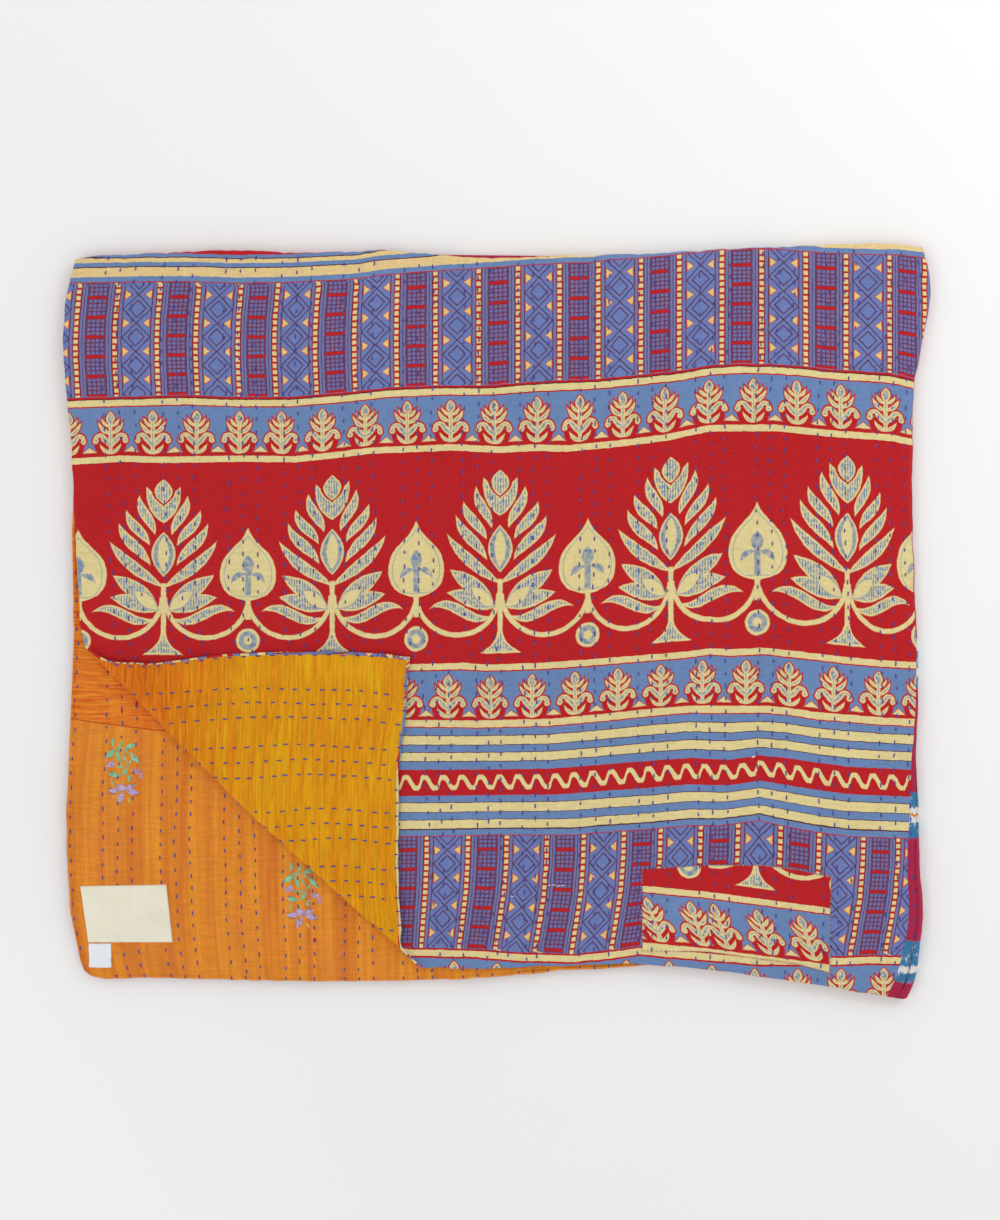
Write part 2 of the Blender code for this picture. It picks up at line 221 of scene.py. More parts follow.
# Stretch of the print sideways. down: the levels between which a row of motifs stands.
# x: where its motifs lie. first, step: where they stand on the straight print.
PRINT_COLUMNS = (
    {
        "down": (0, 401), "first": 74.2, "step": (39.6, 42.4),
        "x": (75, 114, 156, 195, 237, 274, 314.5, 354, 396, 435.4, 478.5, 518, 559.4, 598.4, 641,
              679.5, 722,
              762, 806, 846.5, 890, 925),
    },
    {
        "down": (408, 458), "first": 110, "step": (43.2, 43.2),
        "x": (110, 152, 196, 239, 281, 322, 365, 407, 450.5, 494, 537, 580, 623, 665, 709, 754,
              797, 841, 886),
    },
    {
        "down": (464, 664), "first": 76.25, "step": (85.75, 85.75),
        "x": (78, 163, 247.6, 332, 416, 500, 588, 671, 757.5, 848, 922),
    },
    {
        "down": (670, 722), "first": 404, "step": (43.2, 43.2),
        "x": (404, 448, 490, 532, 575, 618, 661, 702.4, 746.4, 789.4, 834, 879, 919),
    },
    {"down": (770, 797), "first": 407, "step": (504, 504), "x": (407, 911)},
    {
        "down": (836, 953), "first": 387.2, "step": (39.6, 42.4),
        "x": (387, 427, 468, 507, 547, 584, 624, 661, 701, 738.6, 781, 820, 864, 899),
    },
    {"down": (960, 1400), "first": 841, "step": (43.2, 43.2), "x": (841, 884)},
)

# Lean of the two banks of narrow columns: how far they stand to the right, at levels
LEAN = (
    {
        "down": (284, 300, 320, 345, 365, 397), "right": (5, 3.2, 1, 0, 0.3, 2.2),
        "x": (60, 160, 320, 440), "share": (1, 0.85, 0.8, 0),
    },
    {
        "down": (836, 865, 895, 920, 950), "right": (0, -0.8, -3.2, -7.2, -12.4),
        "x": (400, 425, 467, 506, 940), "share": (0.3, 0.5, 0.8, 1, 1.1),
    },
)

# Repeats of the print's motifs, in print units
PLANT_PITCH = 43.2
TREE_PITCH = 85.75
COLUMN_PITCH = 41
WAVE_PITCH = 18.7

# Where two scraps of the patch are joined, and white darning threads, in print units
PATCH_JOIN = 709
DARNS = ((549, 886), (553.5, 885.5), (558, 886.5), (562.5, 886), (754, 756.5), (753, 757.5), (512, 897))

# Embroidered sprigs on layer 2, in print units: each row is a leaf's or petal's two ends, its
# width and its number of threads. The second sprig is the first, set further along.
SPRIG_PLACES = ((0, 0), (179, 125))
SPRIG_LEAVES = (
    ((111.7, 736.7), (111.6, 748), 2.6, 4),
    ((121.6, 740), (117.6, 749.5), 2.4, 4),
    ((136, 743.8), (122.5, 749.4), 4.2, 6),
    ((102.8, 758.8), (115.5, 749.6), 4.8, 7),
    ((115, 750), (119.8, 765.5), 3.2, 5),
    ((128, 752), (139.4, 764.6), 4.0, 6),
    ((106.6, 773.8), (119, 776.2), 4.4, 6),
    ((121, 776), (127, 768.6), 3.8, 5),
    ((127.4, 776.5), (128.4, 783), 2.4, 4),
    ((111.5, 748.6), (123, 749.2), 1.4, 3),
    ((122.5, 749), (129, 754), 1.4, 3),
    ((120, 750.5), (127.2, 765.5), 0.9, 3),
    ((132, 757.5), (127, 766.5), 1.4, 3),
    ((113, 767.8), (127.4, 766.6), 1.6, 3),
    ((119, 777), (127.6, 766.5), 1.2, 3),
    ((110, 778), (112, 787), 0.9, 3),
    ((132, 776.4), (126.8, 776.8), 1.2, 3),
)
SPRIG_PETALS = (
    ((104.2, 765.8), (110.8, 767.2), 1.8, 3),
    ((104.8, 762.6), (110.8, 767), 1.8, 3),
    ((107.6, 760), (111, 767), 1.8, 3),
    ((111.2, 759.6), (111.4, 767), 1.8, 3),
    ((113.2, 762.6), (112, 768), 1.4, 3),
    ((129.6, 769), (137, 774.6), 1.9, 3),
    ((133.8, 767.4), (137.4, 774.4), 1.9, 3),
    ((138.6, 767.8), (138, 774.4), 1.9, 3),
    ((143, 772.4), (138, 775.4), 1.9, 3),
    ((141.8, 779.6), (137.4, 775.6), 2.2, 3),
    ((106.2, 791.2), (121, 790.4), 4.6, 7),
    ((115.6, 784.4), (123.4, 791), 5.0, 7),
    ((122.4, 784.6), (124, 791), 3.6, 5),
    ((134.4, 784.8), (123.6, 790.6), 4.4, 6),
    ((138.8, 793.4), (124.4, 792), 4.8, 7),
    ((116.4, 804.4), (122.8, 792), 5.2, 7),
)
SPRIG_SEPALS = (
    ((110.6, 798.6), (116.4, 795.4), 1.8, 3),
    ((130.4, 804.8), (126, 797), 2.2, 4),
    ((120.8, 779.4), (122, 785), 1.8, 3),
    ((110.4, 784), (113, 787.4), 1.4, 3),
)
SPRIG_OUTLINES = (
    ((106, 789.6), (115, 788.4), 0.6, 1),
    ((106.4, 793.2), (116, 794.4), 0.6, 1),
    ((114.6, 784), (118.6, 788.8), 0.6, 1),
    ((134.8, 783.6), (125.6, 787.6), 0.6, 1),
    ((139.4, 794.6), (129, 795.6), 0.6, 1),
    ((115.6, 804), (118.4, 796.4), 0.6, 1),
    ((119.2, 803.6), (123.6, 796.6), 0.6, 1),
    ((122.8, 792.4), (125.4, 788), 0.6, 1),
    ((136.6, 743.2), (127, 746.2), 0.6, 1),
    ((102.2, 758.2), (109.6, 750.8), 0.6, 1),
    ((131.4, 753.6), (139.8, 763.4), 0.6, 1),
    ((107, 771.6), (114, 772.6), 0.6, 1),
)

# Sewing
STITCH_PITCH = 0.0112
THREAD_RADIUS = 0.00062
GROOVE_WIDTH = 0.0026
GROOVE_DEPTH = 0.00060
WIDE_PULL = 0.00032
PUCKER = 0.00050
JAG = 0.0006
TUCK = 0.00022
HEM_WIDTH = 0.0024
TURN_IN = 0.0022
BACKING_INSET = 0.0009
PRINT_STITCH = 0.0043
GOLD_STITCH = 0.0048
ORANGE_STITCH = 0.0038
ORANGE_THREAD = 0.00060
WHIP_THREAD = 0.00042
DARN_THREAD = 0.00040
GOLD_ROWS = 24
ORANGE_ROWS = 23
ORANGE_HEM_ROWS = 34

# Grid lines of the cloths: how many go over a fold, and those of the layers that don't show,
# in millimetres from the far hem
FOLD_LINES = 9
HIDDEN_LINES = (600, 540, 470, 390, 300, 200, 110, 50, 20, 8)
HIDDEN_BACKING_LINES = (600, 540, 470, 410)

# Flat sizes of the sewn-on pieces
PATCH_SIZE = (0.172, 0.076)
LABEL_SIZE = (0.080, 0.054)
CARE_TAG_SIZE = (0.022, 0.024)

# Distances on each cloth, and the shares of its baked picture where they lie
BAKE_SHARES = {
    "print_cloth": (
        ((-0.004, 0.770), (0.01, 0.99)),
        ((-0.004, 0.665, 1.292), (0.01, 0.93, 0.99))),
    "ikat_cloth": (
        ((0.740, 0.785, 1.524), (0.01, 0.5, 0.99)),
        ((-0.004, 0.665, 1.292), (0.01, 0.8, 0.99))),
    "gold_backing": (
        ((-0.004, 0.404), (0.01, 0.99)),
        ((-0.004, 0.424), (0.01, 0.99))),
    "orange_backing": (
        ((-0.004, 0.402, 1.524), (0.01, 0.8, 0.99)),
        ((-0.004, 0.910, 1.292), (0.01, 0.2, 0.99))),
}
LOWEST = 0.0002
FLOOR_SIZE = 8

CHANCE = np.random.default_rng(41)
ROWS = np.sort(np.concatenate(
    [np.array(ROW_GROUPS) * MM + step * ROW_SPACING for step in (-1, 0, 1)]))
ROW_PHASE = CHANCE.uniform(0, 1, len(ROWS))
ROW_PITCH = STITCH_PITCH * CHANCE.uniform(0.93, 1.08, len(ROWS))
LATTICE_SIZE = 128
LATTICE = CHANCE.uniform(-1, 1, (LATTICE_SIZE, LATTICE_SIZE))


def noise(x, y):
    """Smooth noise between -1 and 1 that changes over about one unit."""
    column = np.floor(x).astype(int)
    row = np.floor(y).astype(int)
    s = x - column
    t = y - row
    s = s * s * (3 - 2 * s)
    t = t * t * (3 - 2 * t)
    row = row % LATTICE_SIZE
    column = column % LATTICE_SIZE
    next_row = (row + 1) % LATTICE_SIZE
    next_column = (column + 1) % LATTICE_SIZE
    low = LATTICE[row, column] * (1 - s) + LATTICE[row, next_column] * s
    high = LATTICE[next_row, column] * (1 - s) + LATTICE[next_row, next_column] * s
    return low * (1 - t) + high * t


def smooth_value(table, position):
    """Value of an edge table at each position, on a smooth curve through its rows."""
    along = np.array(table["along"]) * MM
    shift = np.array(table["shift"]) * MM
    slope = np.gradient(shift, along)
    position = np.clip(position, along[0], along[-1])
    left = np.clip(np.searchsorted(along, position, side="right") - 1, 0, len(along) - 2)
    span = along[left + 1] - along[left]
    t = (position - along[left]) / span
    start = (1 + 2 * t) * (1 - t) ** 2 * shift[left] + t * (1 - t) ** 2 * span * slope[left]
    end = t ** 2 * (3 - 2 * t) * shift[left + 1] - t ** 2 * (1 - t) * span * slope[left + 1]
    return start + end


def fade(distance):
    """Weight of an edge's shape, 1 at the edge and 0 past its reach."""
    return np.clip(1 - distance / EDGE_REACH, 0, 1) ** 2


def fold_station(position, flat, arc):
    """Distance along the folded cloth and turn about the fold, for a place on open cloth."""
    turn = np.clip((position - flat) / arc, 0, 1) * np.pi
    distance = np.where(position > flat + arc, 2 * flat + arc - position, np.minimum(position, flat))
    return distance, turn


def blend_layers(tables, position, upper, front):
    """Edge shift at a place whose weights say which of the four layers it is on."""
    top = front * smooth_value(tables[1], position) + (1 - front) * smooth_value(tables[2], position)
    under = front * smooth_value(tables[4], position) + (1 - front) * smooth_value(tables[3], position)
    return upper * top + (1 - upper) * under


def plan_position(across, up, upper, front):
    """Place seen from above, before the two folds' own roundness."""
    top_edge = upper * smooth_value(TOP_EDGE["upper pair"], across)
    top_edge += (1 - upper) * smooth_value(TOP_EDGE["lower pair"], across)
    x = LEFT_HEM_X + across
    x += blend_layers(LEFT_EDGE, up, upper, front) * fade(across)
    x += (smooth_value(RIGHT_EDGE, up) - (1 - front) * INNER_FOLD_INSET) * fade(FLAT_WIDTH - across)
    y = BOTTOM_HEM_Y + up
    y += blend_layers(BOTTOM_EDGE, across, upper, front) * fade(up)
    y += top_edge * fade(FLAT_HEIGHT - up)
    return x, y


def layer_one_plan(u, v):
    """Places on layer 1 seen from above, as if its corner weren't turned back."""
    return plan_position(u, v, np.ones_like(u), np.ones_like(u))


def swell(x, y):
    """Height that the pile's swells and the cloth's soft wrinkles add at a place."""
    total = np.zeros_like(x)
    for middle_x, middle_y, reach_x, reach_y, height in zip(*SWELLS.values()):
        off_x = (x - middle_x * MM) / (reach_x * MM)
        off_y = (y - middle_y * MM) / (reach_y * MM)
        total += height * MM * np.exp(-off_x ** 2 - off_y ** 2)
    total += 0.8 * MM * noise(x / 0.095 + 20, y / 0.075 + 20)
    total += 0.80 * MM * noise((x + 0.35 * y) / 0.034 + 50, (y - 0.2 * x) / 0.048 + 50)
    total += 0.35 * MM * noise((x - 0.5 * y) / 0.017 + 80, (y + 0.4 * x) / 0.021 + 80)
    return total


def past_roll(x, y):
    """Distance of a place seen from above past the start of the turned-back corner's roll."""
    return (x - ROLL_START[0]) * CREASE_OUTWARD[0] + (y - ROLL_START[1]) * CREASE_OUTWARD[1]


def turn_corner(x, y, w, on_top_layer):
    """Roll the top layer's corner up over its crease, and give the height above the layer."""
    beyond = past_roll(x, y)
    turned = on_top_layer & (beyond > 0)
    angle = np.clip(beyond / CREASE_RADIUS, 0, np.pi)
    slack = np.maximum(beyond - ROLL, 0)
    across = np.where(turned, (CREASE_RADIUS - w) * np.sin(angle) - slack, beyond)
    settled = 1 - np.exp(-(slack / FLAP_SETTLE) ** 2)
    rolled = CREASE_RADIUS - (CREASE_RADIUS - w) * np.cos(angle)
    rolled -= (2 * CREASE_RADIUS - PITCH) * settled
    share = (x - CREASE_START[0]) * CREASE_ALONG[0] + (y - CREASE_START[1]) * CREASE_ALONG[1]
    share /= CREASE_LENGTH
    bow = CREASE_BOW * np.sin(np.pi * np.clip(share, 0, 1)) * np.exp(-(across / BOW_REACH) ** 2)
    move = np.where(turned, across - beyond, 0) + np.where(on_top_layer, bow, 0)
    height = np.where(turned, rolled, w)
    return x + move * CREASE_OUTWARD[0], y + move * CREASE_OUTWARD[1], height


def place(u, v, w):
    """Points of the folded quilt, at a height w above the middle of the sheet's thickness."""
    across, side_turn = fold_station(u, FLAT_WIDTH, SIDE_ARC)
    up, top_turn = fold_station(v, FLAT_HEIGHT, TOP_ARC)
    upper = (1 + np.cos(side_turn)) / 2
    front = (1 + np.cos(top_turn)) / 2
    x, y = plan_position(across, up, upper, front)
    x += JAG * noise(v / 0.010 + 70, 3.3 * upper + 5) * np.exp(-across / 0.010)
    y += JAG * noise(u / 0.010 + 30, 3.3 * front + 9) * np.exp(-up / 0.010)
    x += JAG * noise(v / 0.016 + 90, 14.5 + 0 * u) * np.exp(-(FLAT_WIDTH - across) / 0.014)
    y += JAG * noise(u / 0.016 + 50, 17.5 + 0 * u) * np.exp(-(FLAT_HEIGHT - up) / 0.014)
    on_top_layer = (side_turn == 0) & (top_turn == 0)
    x, y, corner_height = turn_corner(x, y, w, on_top_layer)
    y += (TOP_RADIUS + w) * np.sin(top_turn)
    fold_height = (TOP_RADIUS + w) * np.cos(top_turn) - TOP_RADIUS
    height = np.where(on_top_layer, corner_height, fold_height)
    x += (SIDE_RADIUS + height) * np.sin(side_turn)
    middle = TOP_RADIUS * (np.cos(top_turn) - 1)
    level = (SIDE_RADIUS + (SIDE_RADIUS + middle) * np.cos(side_turn)) / (2 * SIDE_RADIUS)
    z = HALF_SHEET + SIDE_RADIUS + (SIDE_RADIUS + height) * np.cos(side_turn)
    z += swell(x, y) * level
    return np.column_stack((x, y, z)) + CENTRING


def cloth_place(layer, x, y):
    """Distances u and v on the open cloth of places seen from above on layer 1 or 2."""
    front = np.ones_like(x) if layer == 1 else np.zeros_like(x)
    across = x - LEFT_HEM_X
    up = y - BOTTOM_HEM_Y
    for _ in range(8):
        plan_x, plan_y = plan_position(across, up, np.ones_like(x), front)
        across = across + x - plan_x
        up = up + y - plan_y
    return across, up if layer == 1 else OPEN_HEIGHT - up


def seam_distance(v):
    """Distance of the seam beside the right fold from the left hem."""
    return np.interp(v, np.array(SEAM_LINE["along"]) * MM, np.array(SEAM_LINE["shift"]) * MM)


def skewed(u, v):
    """Distance from the left hem, with the grid near the seam drawn to the seam's own line."""
    seam = seam_distance(v)
    end = FLAT_WIDTH + SIDE_ARC
    before = u + (seam - SEAM_START) * np.clip(1 + (u - SEAM_START) / SEAM_BEND, 0, 1)
    after = seam + (u - SEAM_START) * (end - seam) / (end - SEAM_START)
    return np.where(u < SEAM_START, before, np.where(u < end, after, u))


def wander(u, v):
    """How far the stitched rows stray sideways from straight lines."""
    stray = 0.9 * MM * np.sin(2 * np.pi * (v / 0.27 + u / 0.31))
    stray += 0.6 * MM * np.sin(2 * np.pi * (v / 0.083 + u / 0.17))
    corner = np.clip((0.42 - u) / 0.12, 0, 1) * np.clip((0.34 - v) / 0.05, 0, 1)
    stray += corner * smooth_value(LEFT_EDGE[1], v) * (1 - fade(u))
    stray += corner * np.interp(v, (0, 0.06, 0.12, 0.25, 0.34), np.array((5.5, 3.4, 2.4, -4.4, 0)) * MM)
    return stray * np.clip(u / 0.012, 0, 1) * np.clip((seam_distance(v) - u) / 0.012, 0, 1)


def nearest_row(u, v):
    """Signed distance to the nearest stitched row, and the number of that row."""
    line = u - wander(u - wander(u, v), v)
    number = np.clip(np.searchsorted(ROWS, line), 1, len(ROWS) - 1)
    number = np.where(line - ROWS[number - 1] < ROWS[number] - line, number - 1, number)
    return line - ROWS[number], number


def face_height(u, v, side):
    """Height of a face above the sheet's middle: the stitching pulls it in, and the cloth puckers."""
    away, row = nearest_row(u, v)
    beat = np.cos(2 * np.pi * (v / ROW_PITCH[row] - ROW_PHASE[row]))
    near = np.exp(-(away / GROOVE_WIDTH) ** 2)
    pulled = GROOVE_DEPTH * near * (0.7 + 0.3 * side * beat) + WIDE_PULL * np.exp(-(away / 0.0085) ** 2)
    pucker = noise(u / 0.022 + 9, v / 0.0052) * (0.45 + 0.55 * np.exp(-(away / 0.009) ** 2))
    pucker += 0.7 * noise(u / 0.016 + 60, v / 0.011 + 30)
    up = fold_station(v, FLAT_HEIGHT, TOP_ARC)[0]
    hem = np.exp(-np.minimum(np.abs(u), np.abs(up)) / 0.02)
    return side * (HALF_SHEET - pulled) + PUCKER * pucker * (1 + 0.8 * hem)


def fill(lines, step):
    """Lines with even ones added wherever two stand more than a step apart."""
    filled = [lines[0]]
    for low, high in zip(lines, lines[1:]):
        parts = int(np.ceil((high - low) / step - 1e-6))
        filled.extend(low + (high - low) * np.arange(1, parts + 1) / parts)
    return np.array(filled)


def row_columns(first, last, step):
    """Grid columns between two distances, closer together beside each stitched row."""
    beside = (ROWS[:, None] + np.array((-3.0, -1.3, 0, 1.3, 3.0)) * MM).ravel()
    inside = beside[(beside > first + MM) & (beside < last - MM)]
    return fill(np.concatenate(([first], inside, [last])), step)


def hem_lines(turn_in):
    """Distances from a hem, and the cosine of the cloth's turn there, from the turned-in edge."""
    angle = np.linspace(np.pi, 0, 7)
    distance = np.concatenate(([turn_in, (turn_in + HALF_SHEET) / 2], HALF_SHEET * (1 - np.sin(angle))))
    return distance, np.concatenate(([-1, -1], np.cos(angle)))


def cloth_grid(columns, rows, column_turn, row_turn, skip=None):
    """Flat grid of cloth whose float layers keep each point's u, v and turn over a hem."""
    cloth = bmesh.new()
    layers = [cloth.verts.layers.float.new(name) for name in ("u", "v", "turn")]
    grid = []
    for v, v_turn in zip(rows, row_turn):
        line = []
        drawn = skewed(columns, np.full(len(columns), v))
        strayed = drawn + wander(drawn, np.full(len(columns), v))
        for u, u_turn in zip(strayed.tolist(), column_turn):
            vert = cloth.verts.new((u, v, 0))
            vert[layers[0]] = u
            vert[layers[1]] = v
            vert[layers[2]] = min(u_turn, v_turn)
            line.append(vert)
        grid.append(line)
    for down in range(len(rows) - 1):
        for step in range(len(columns) - 1):
            if skip and skip(columns[step:step + 2], rows[down:down + 2],
                             column_turn[step:step + 2], row_turn[down:down + 2]):
                continue
            low = grid[down]
            high = grid[down + 1]
            cloth.faces.new((low[step], low[step + 1], high[step + 1], high[step]))
    loose = [vert for vert in cloth.verts if not vert.link_faces]
    bmesh.ops.delete(cloth, geom=loose, context="VERTS")
    return cloth, layers


def cut_crease(cloth, layers):
    """Cut the top layer's grid along lines beside the crease, so that it rolls smoothly."""
    verts = [vert for vert in cloth.verts
             if vert[layers[0]] <= FLAT_WIDTH and vert[layers[1]] <= FLAT_HEIGHT]
    u = np.array([vert[layers[0]] for vert in verts])
    v = np.array([vert[layers[1]] for vert in verts])
    x, y = layer_one_plan(u, v)
    for vert, plan_x, plan_y in zip(verts, x, y):
        vert.co = (plan_x, plan_y, 0)
    near = {vert for vert, distance in zip(verts, past_roll(x, y))
            if -0.010 < distance < ROLL + 0.012}
    for distance in ROLL * np.linspace(0, 1, FOLD_LINES):
        point = ROLL_START + CREASE_OUTWARD * distance
        faces = {face for vert in near if vert.is_valid for face in vert.link_faces}
        edges = {edge for face in faces for edge in face.edges}
        corners = {vert for face in faces for vert in face.verts}
        made = bmesh.ops.bisect_plane(
            cloth, geom=list(corners) + list(edges) + list(faces), dist=0.0003,
            plane_co=(*point, 0), plane_no=(*CREASE_OUTWARD, 0))
        near.update(item for item in made["geom_cut"] if isinstance(item, bmesh.types.BMVert))
    uneven = [face for face in cloth.faces if len(face.verts) > 4]
    bmesh.ops.triangulate(cloth, faces=uneven)


def finish_cloth(name, cloth, layers, side, print_uv=False):
    """Object from a flat grid of cloth, with its points carried to the folded quilt's faces."""
    cloth.verts.index_update()
    u, v, turn = (np.array([vert[layer] for vert in cloth.verts]) for layer in layers)
    height = face_height(u, v, side)
    if side > 0:
        folded_in = face_height(u, v, -1) + HALF_SHEET - TUCK
        outside = (height - HALF_SHEET) * np.maximum(turn, 0)
        height = HALF_SHEET * turn + outside + folded_in * np.maximum(-turn, 0)
        past_seam = u - seam_distance(v)
        if print_uv:
            height -= 0.0003 * np.clip(1 + past_seam / 0.0008, 0, 1)
        else:
            height -= 0.00045 * np.clip(1 - past_seam / 0.0012, 0, 1)
    points = place(u, v, height)
    points[:, 2] = np.maximum(points[:, 2], LOWEST)
    faces = [[vert.index for vert in face.verts] for face in cloth.faces]
    if side < 0:
        faces = [list(reversed(loop)) for loop in faces]
    cloth.free()
    thing, corner = add_piece(name, points, faces)
    add_uv(thing.data, "Cloth", np.column_stack((u, v)), corner)
    if print_uv:
        add_uv(thing.data, "Print", print_place(u, v), corner)
    add_uv(thing.data, "OFBake", bake_place(name, u, v, turn), corner)
    return thing, u, v, turn


def add_piece(name, points, faces):
    """Smooth object on the root body, and the vertex number of each corner of its faces."""
    mesh = bpy.data.meshes.new(name)
    mesh.from_pydata(points.tolist(), [], faces)
    mesh.validate()
    mesh.shade_smooth()
    corner = np.empty(len(mesh.loops), dtype=np.int32)
    mesh.loops.foreach_get("vertex_index", corner)
    thing = bpy.data.objects.new(name, mesh)
    bpy.context.collection.objects.link(thing)
    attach(thing, "root")
    return thing, corner


def bake_place(name, u, v, turn):
    """Place in a picture that covers the cloth once, with most of it for the part that shows."""
    s = np.where((turn < 0) & (u < HEM_WIDTH), -u, u)
    s = np.where((turn < 0) & (u > OPEN_WIDTH - HEM_WIDTH), 2 * OPEN_WIDTH - u, s)
    t = np.where((turn < 0) & (v < HEM_WIDTH), -v, v)
    t = np.where((turn < 0) & (v > OPEN_HEIGHT - HEM_WIDTH), 2 * OPEN_HEIGHT - v, t)
    across, up = BAKE_SHARES[name]
    return np.column_stack((np.interp(s, across[0], across[1]), np.interp(t, up[0], up[1])))


def add_uv(mesh, name, values, corner):
    """UV map from one pair of numbers for each vertex."""
    layer = mesh.uv_layers.new(name=name)
    layer.data.foreach_set("uv", values[corner].astype(np.float32).ravel())


def sideways(columns, x):
    """Place across the straight print of a place x on one row of motifs."""
    steps = np.tile(columns["step"], len(columns["x"]))[:len(columns["x"]) - 1]
    straight = columns["first"] + np.concatenate(([0], np.cumsum(steps)))
    lies = np.array(columns["x"], dtype=float)
    before = (lies[1] - lies[0]) / (straight[1] - straight[0])
    after = (lies[-1] - lies[-2]) / (straight[-1] - straight[-2])
    inside = np.interp(x, lies, straight)
    inside = np.where(x < lies[0], straight[0] + (x - lies[0]) / before, inside)
    return np.where(x > lies[-1], straight[-1] + (x - lies[-1]) / after, inside)


def print_place(u, v):
    """Place on the straight print, in print units right and down, of a place on the cloth."""
    across = np.minimum(u, FLAT_WIDTH)
    up = np.minimum(v, FLAT_HEIGHT)
    plan_x, plan_y = layer_one_plan(across, up)
    x = (plan_x + CENTRING[0] + u - across) / UNIT + UNIT_ORIGIN[0]
    y = UNIT_ORIGIN[1] - (plan_y + CENTRING[1] + v - up) / UNIT
    lines = np.array([np.interp(x, line["x"], line["y"]) for line in PRINT_LINES])
    levels = [line["level"] for line in PRINT_LINES]
    down = levels[0] + y - lines[0]
    for number in range(1, len(levels)):
        low = lines[number - 1]
        share = (y - low) / (lines[number] - low)
        inside = levels[number - 1] + share * (levels[number] - levels[number - 1])
        down = np.where(y > low, inside, down)
    down = np.where(y > lines[-1], levels[-1] + y - lines[-1], down)
    for lean in LEAN:
        inside = (down > lean["down"][0]) & (down < lean["down"][-1] + 3)
        share = np.interp(x, lean["x"], lean["share"])
        x = x - np.where(inside, share * np.interp(down, lean["down"], lean["right"]), 0)
    right = sideways(PRINT_COLUMNS[0], x)
    for above, below in zip(PRINT_COLUMNS, PRINT_COLUMNS[1:]):
        share = np.clip((down - above["down"][1]) / (below["down"][0] - above["down"][1]), 0, 1)
        right = right * (1 - share) + sideways(below, x) * share
    return np.column_stack((right, down))


def tone(red, green, blue):
    """Linear colour of a shade given in 0 to 255."""
    shade = np.array((red, green, blue)) / 255
    linear = np.where(shade <= 0.04045, shade / 12.92, ((shade + 0.055) / 1.055) ** 2.4)
    return (*linear.tolist(), 1)


RED = tone(194, 28, 34)
DARK = tone(92, 26, 42)
BLUE = tone(110, 140, 188)
PURPLE = tone(118, 124, 178)
CREAM = tone(235, 217, 154)
GREYBLUE = tone(112, 142, 178)


class Field:
    """A number that varies over a surface, kept as an output of a material's nodes."""

    def __init__(self, tree, socket):
        self.tree = tree
        self.socket = socket

    def sum_of(self, operation, *others, clamp=False):
        node = self.tree.nodes.new("ShaderNodeMath")
        node.operation = operation
        node.use_clamp = clamp
        for number, value in enumerate((self, *others)):
            if isinstance(value, Field):
                self.tree.links.new(value.socket, node.inputs[number])
            else:
                node.inputs[number].default_value = value
        return Field(self.tree, node.outputs[0])

    def __add__(self, other):
        return self.sum_of("ADD", other)

    def __sub__(self, other):
        return self.sum_of("SUBTRACT", other)

    def __mul__(self, other):
        return self.sum_of("MULTIPLY", other)

    def __abs__(self):
        return self.sum_of("ABSOLUTE")

    def scaled(self, factor, shift):
        return self.sum_of("MULTIPLY_ADD", factor, shift)

    def least(self, other):
        return self.sum_of("MINIMUM", other)

    def most(self, other):
        return self.sum_of("MAXIMUM", other)

    def folded(self, middle, half):
        """Distance from the nearest of many lines, 2 * half apart."""
        return (self - middle).sum_of("PINGPONG", half)

    def repeated(self, middle, step):
        """Signed distance from the nearest of many lines, a step apart."""
        return (self - middle).sum_of("WRAP", step / 2, -step / 2)

    def inside(self, soft=0.9):
        """Share of 1 where this distance is below 0, and 0 where it is above."""
        return self.sum_of("MULTIPLY_ADD", -1 / soft, 0.5, clamp=True)

    def wave(self, period, phase=0.0):
        """Sine of this number, from -1 to 1."""
        return self.scaled(2 * np.pi / period, phase).sum_of("SINE")


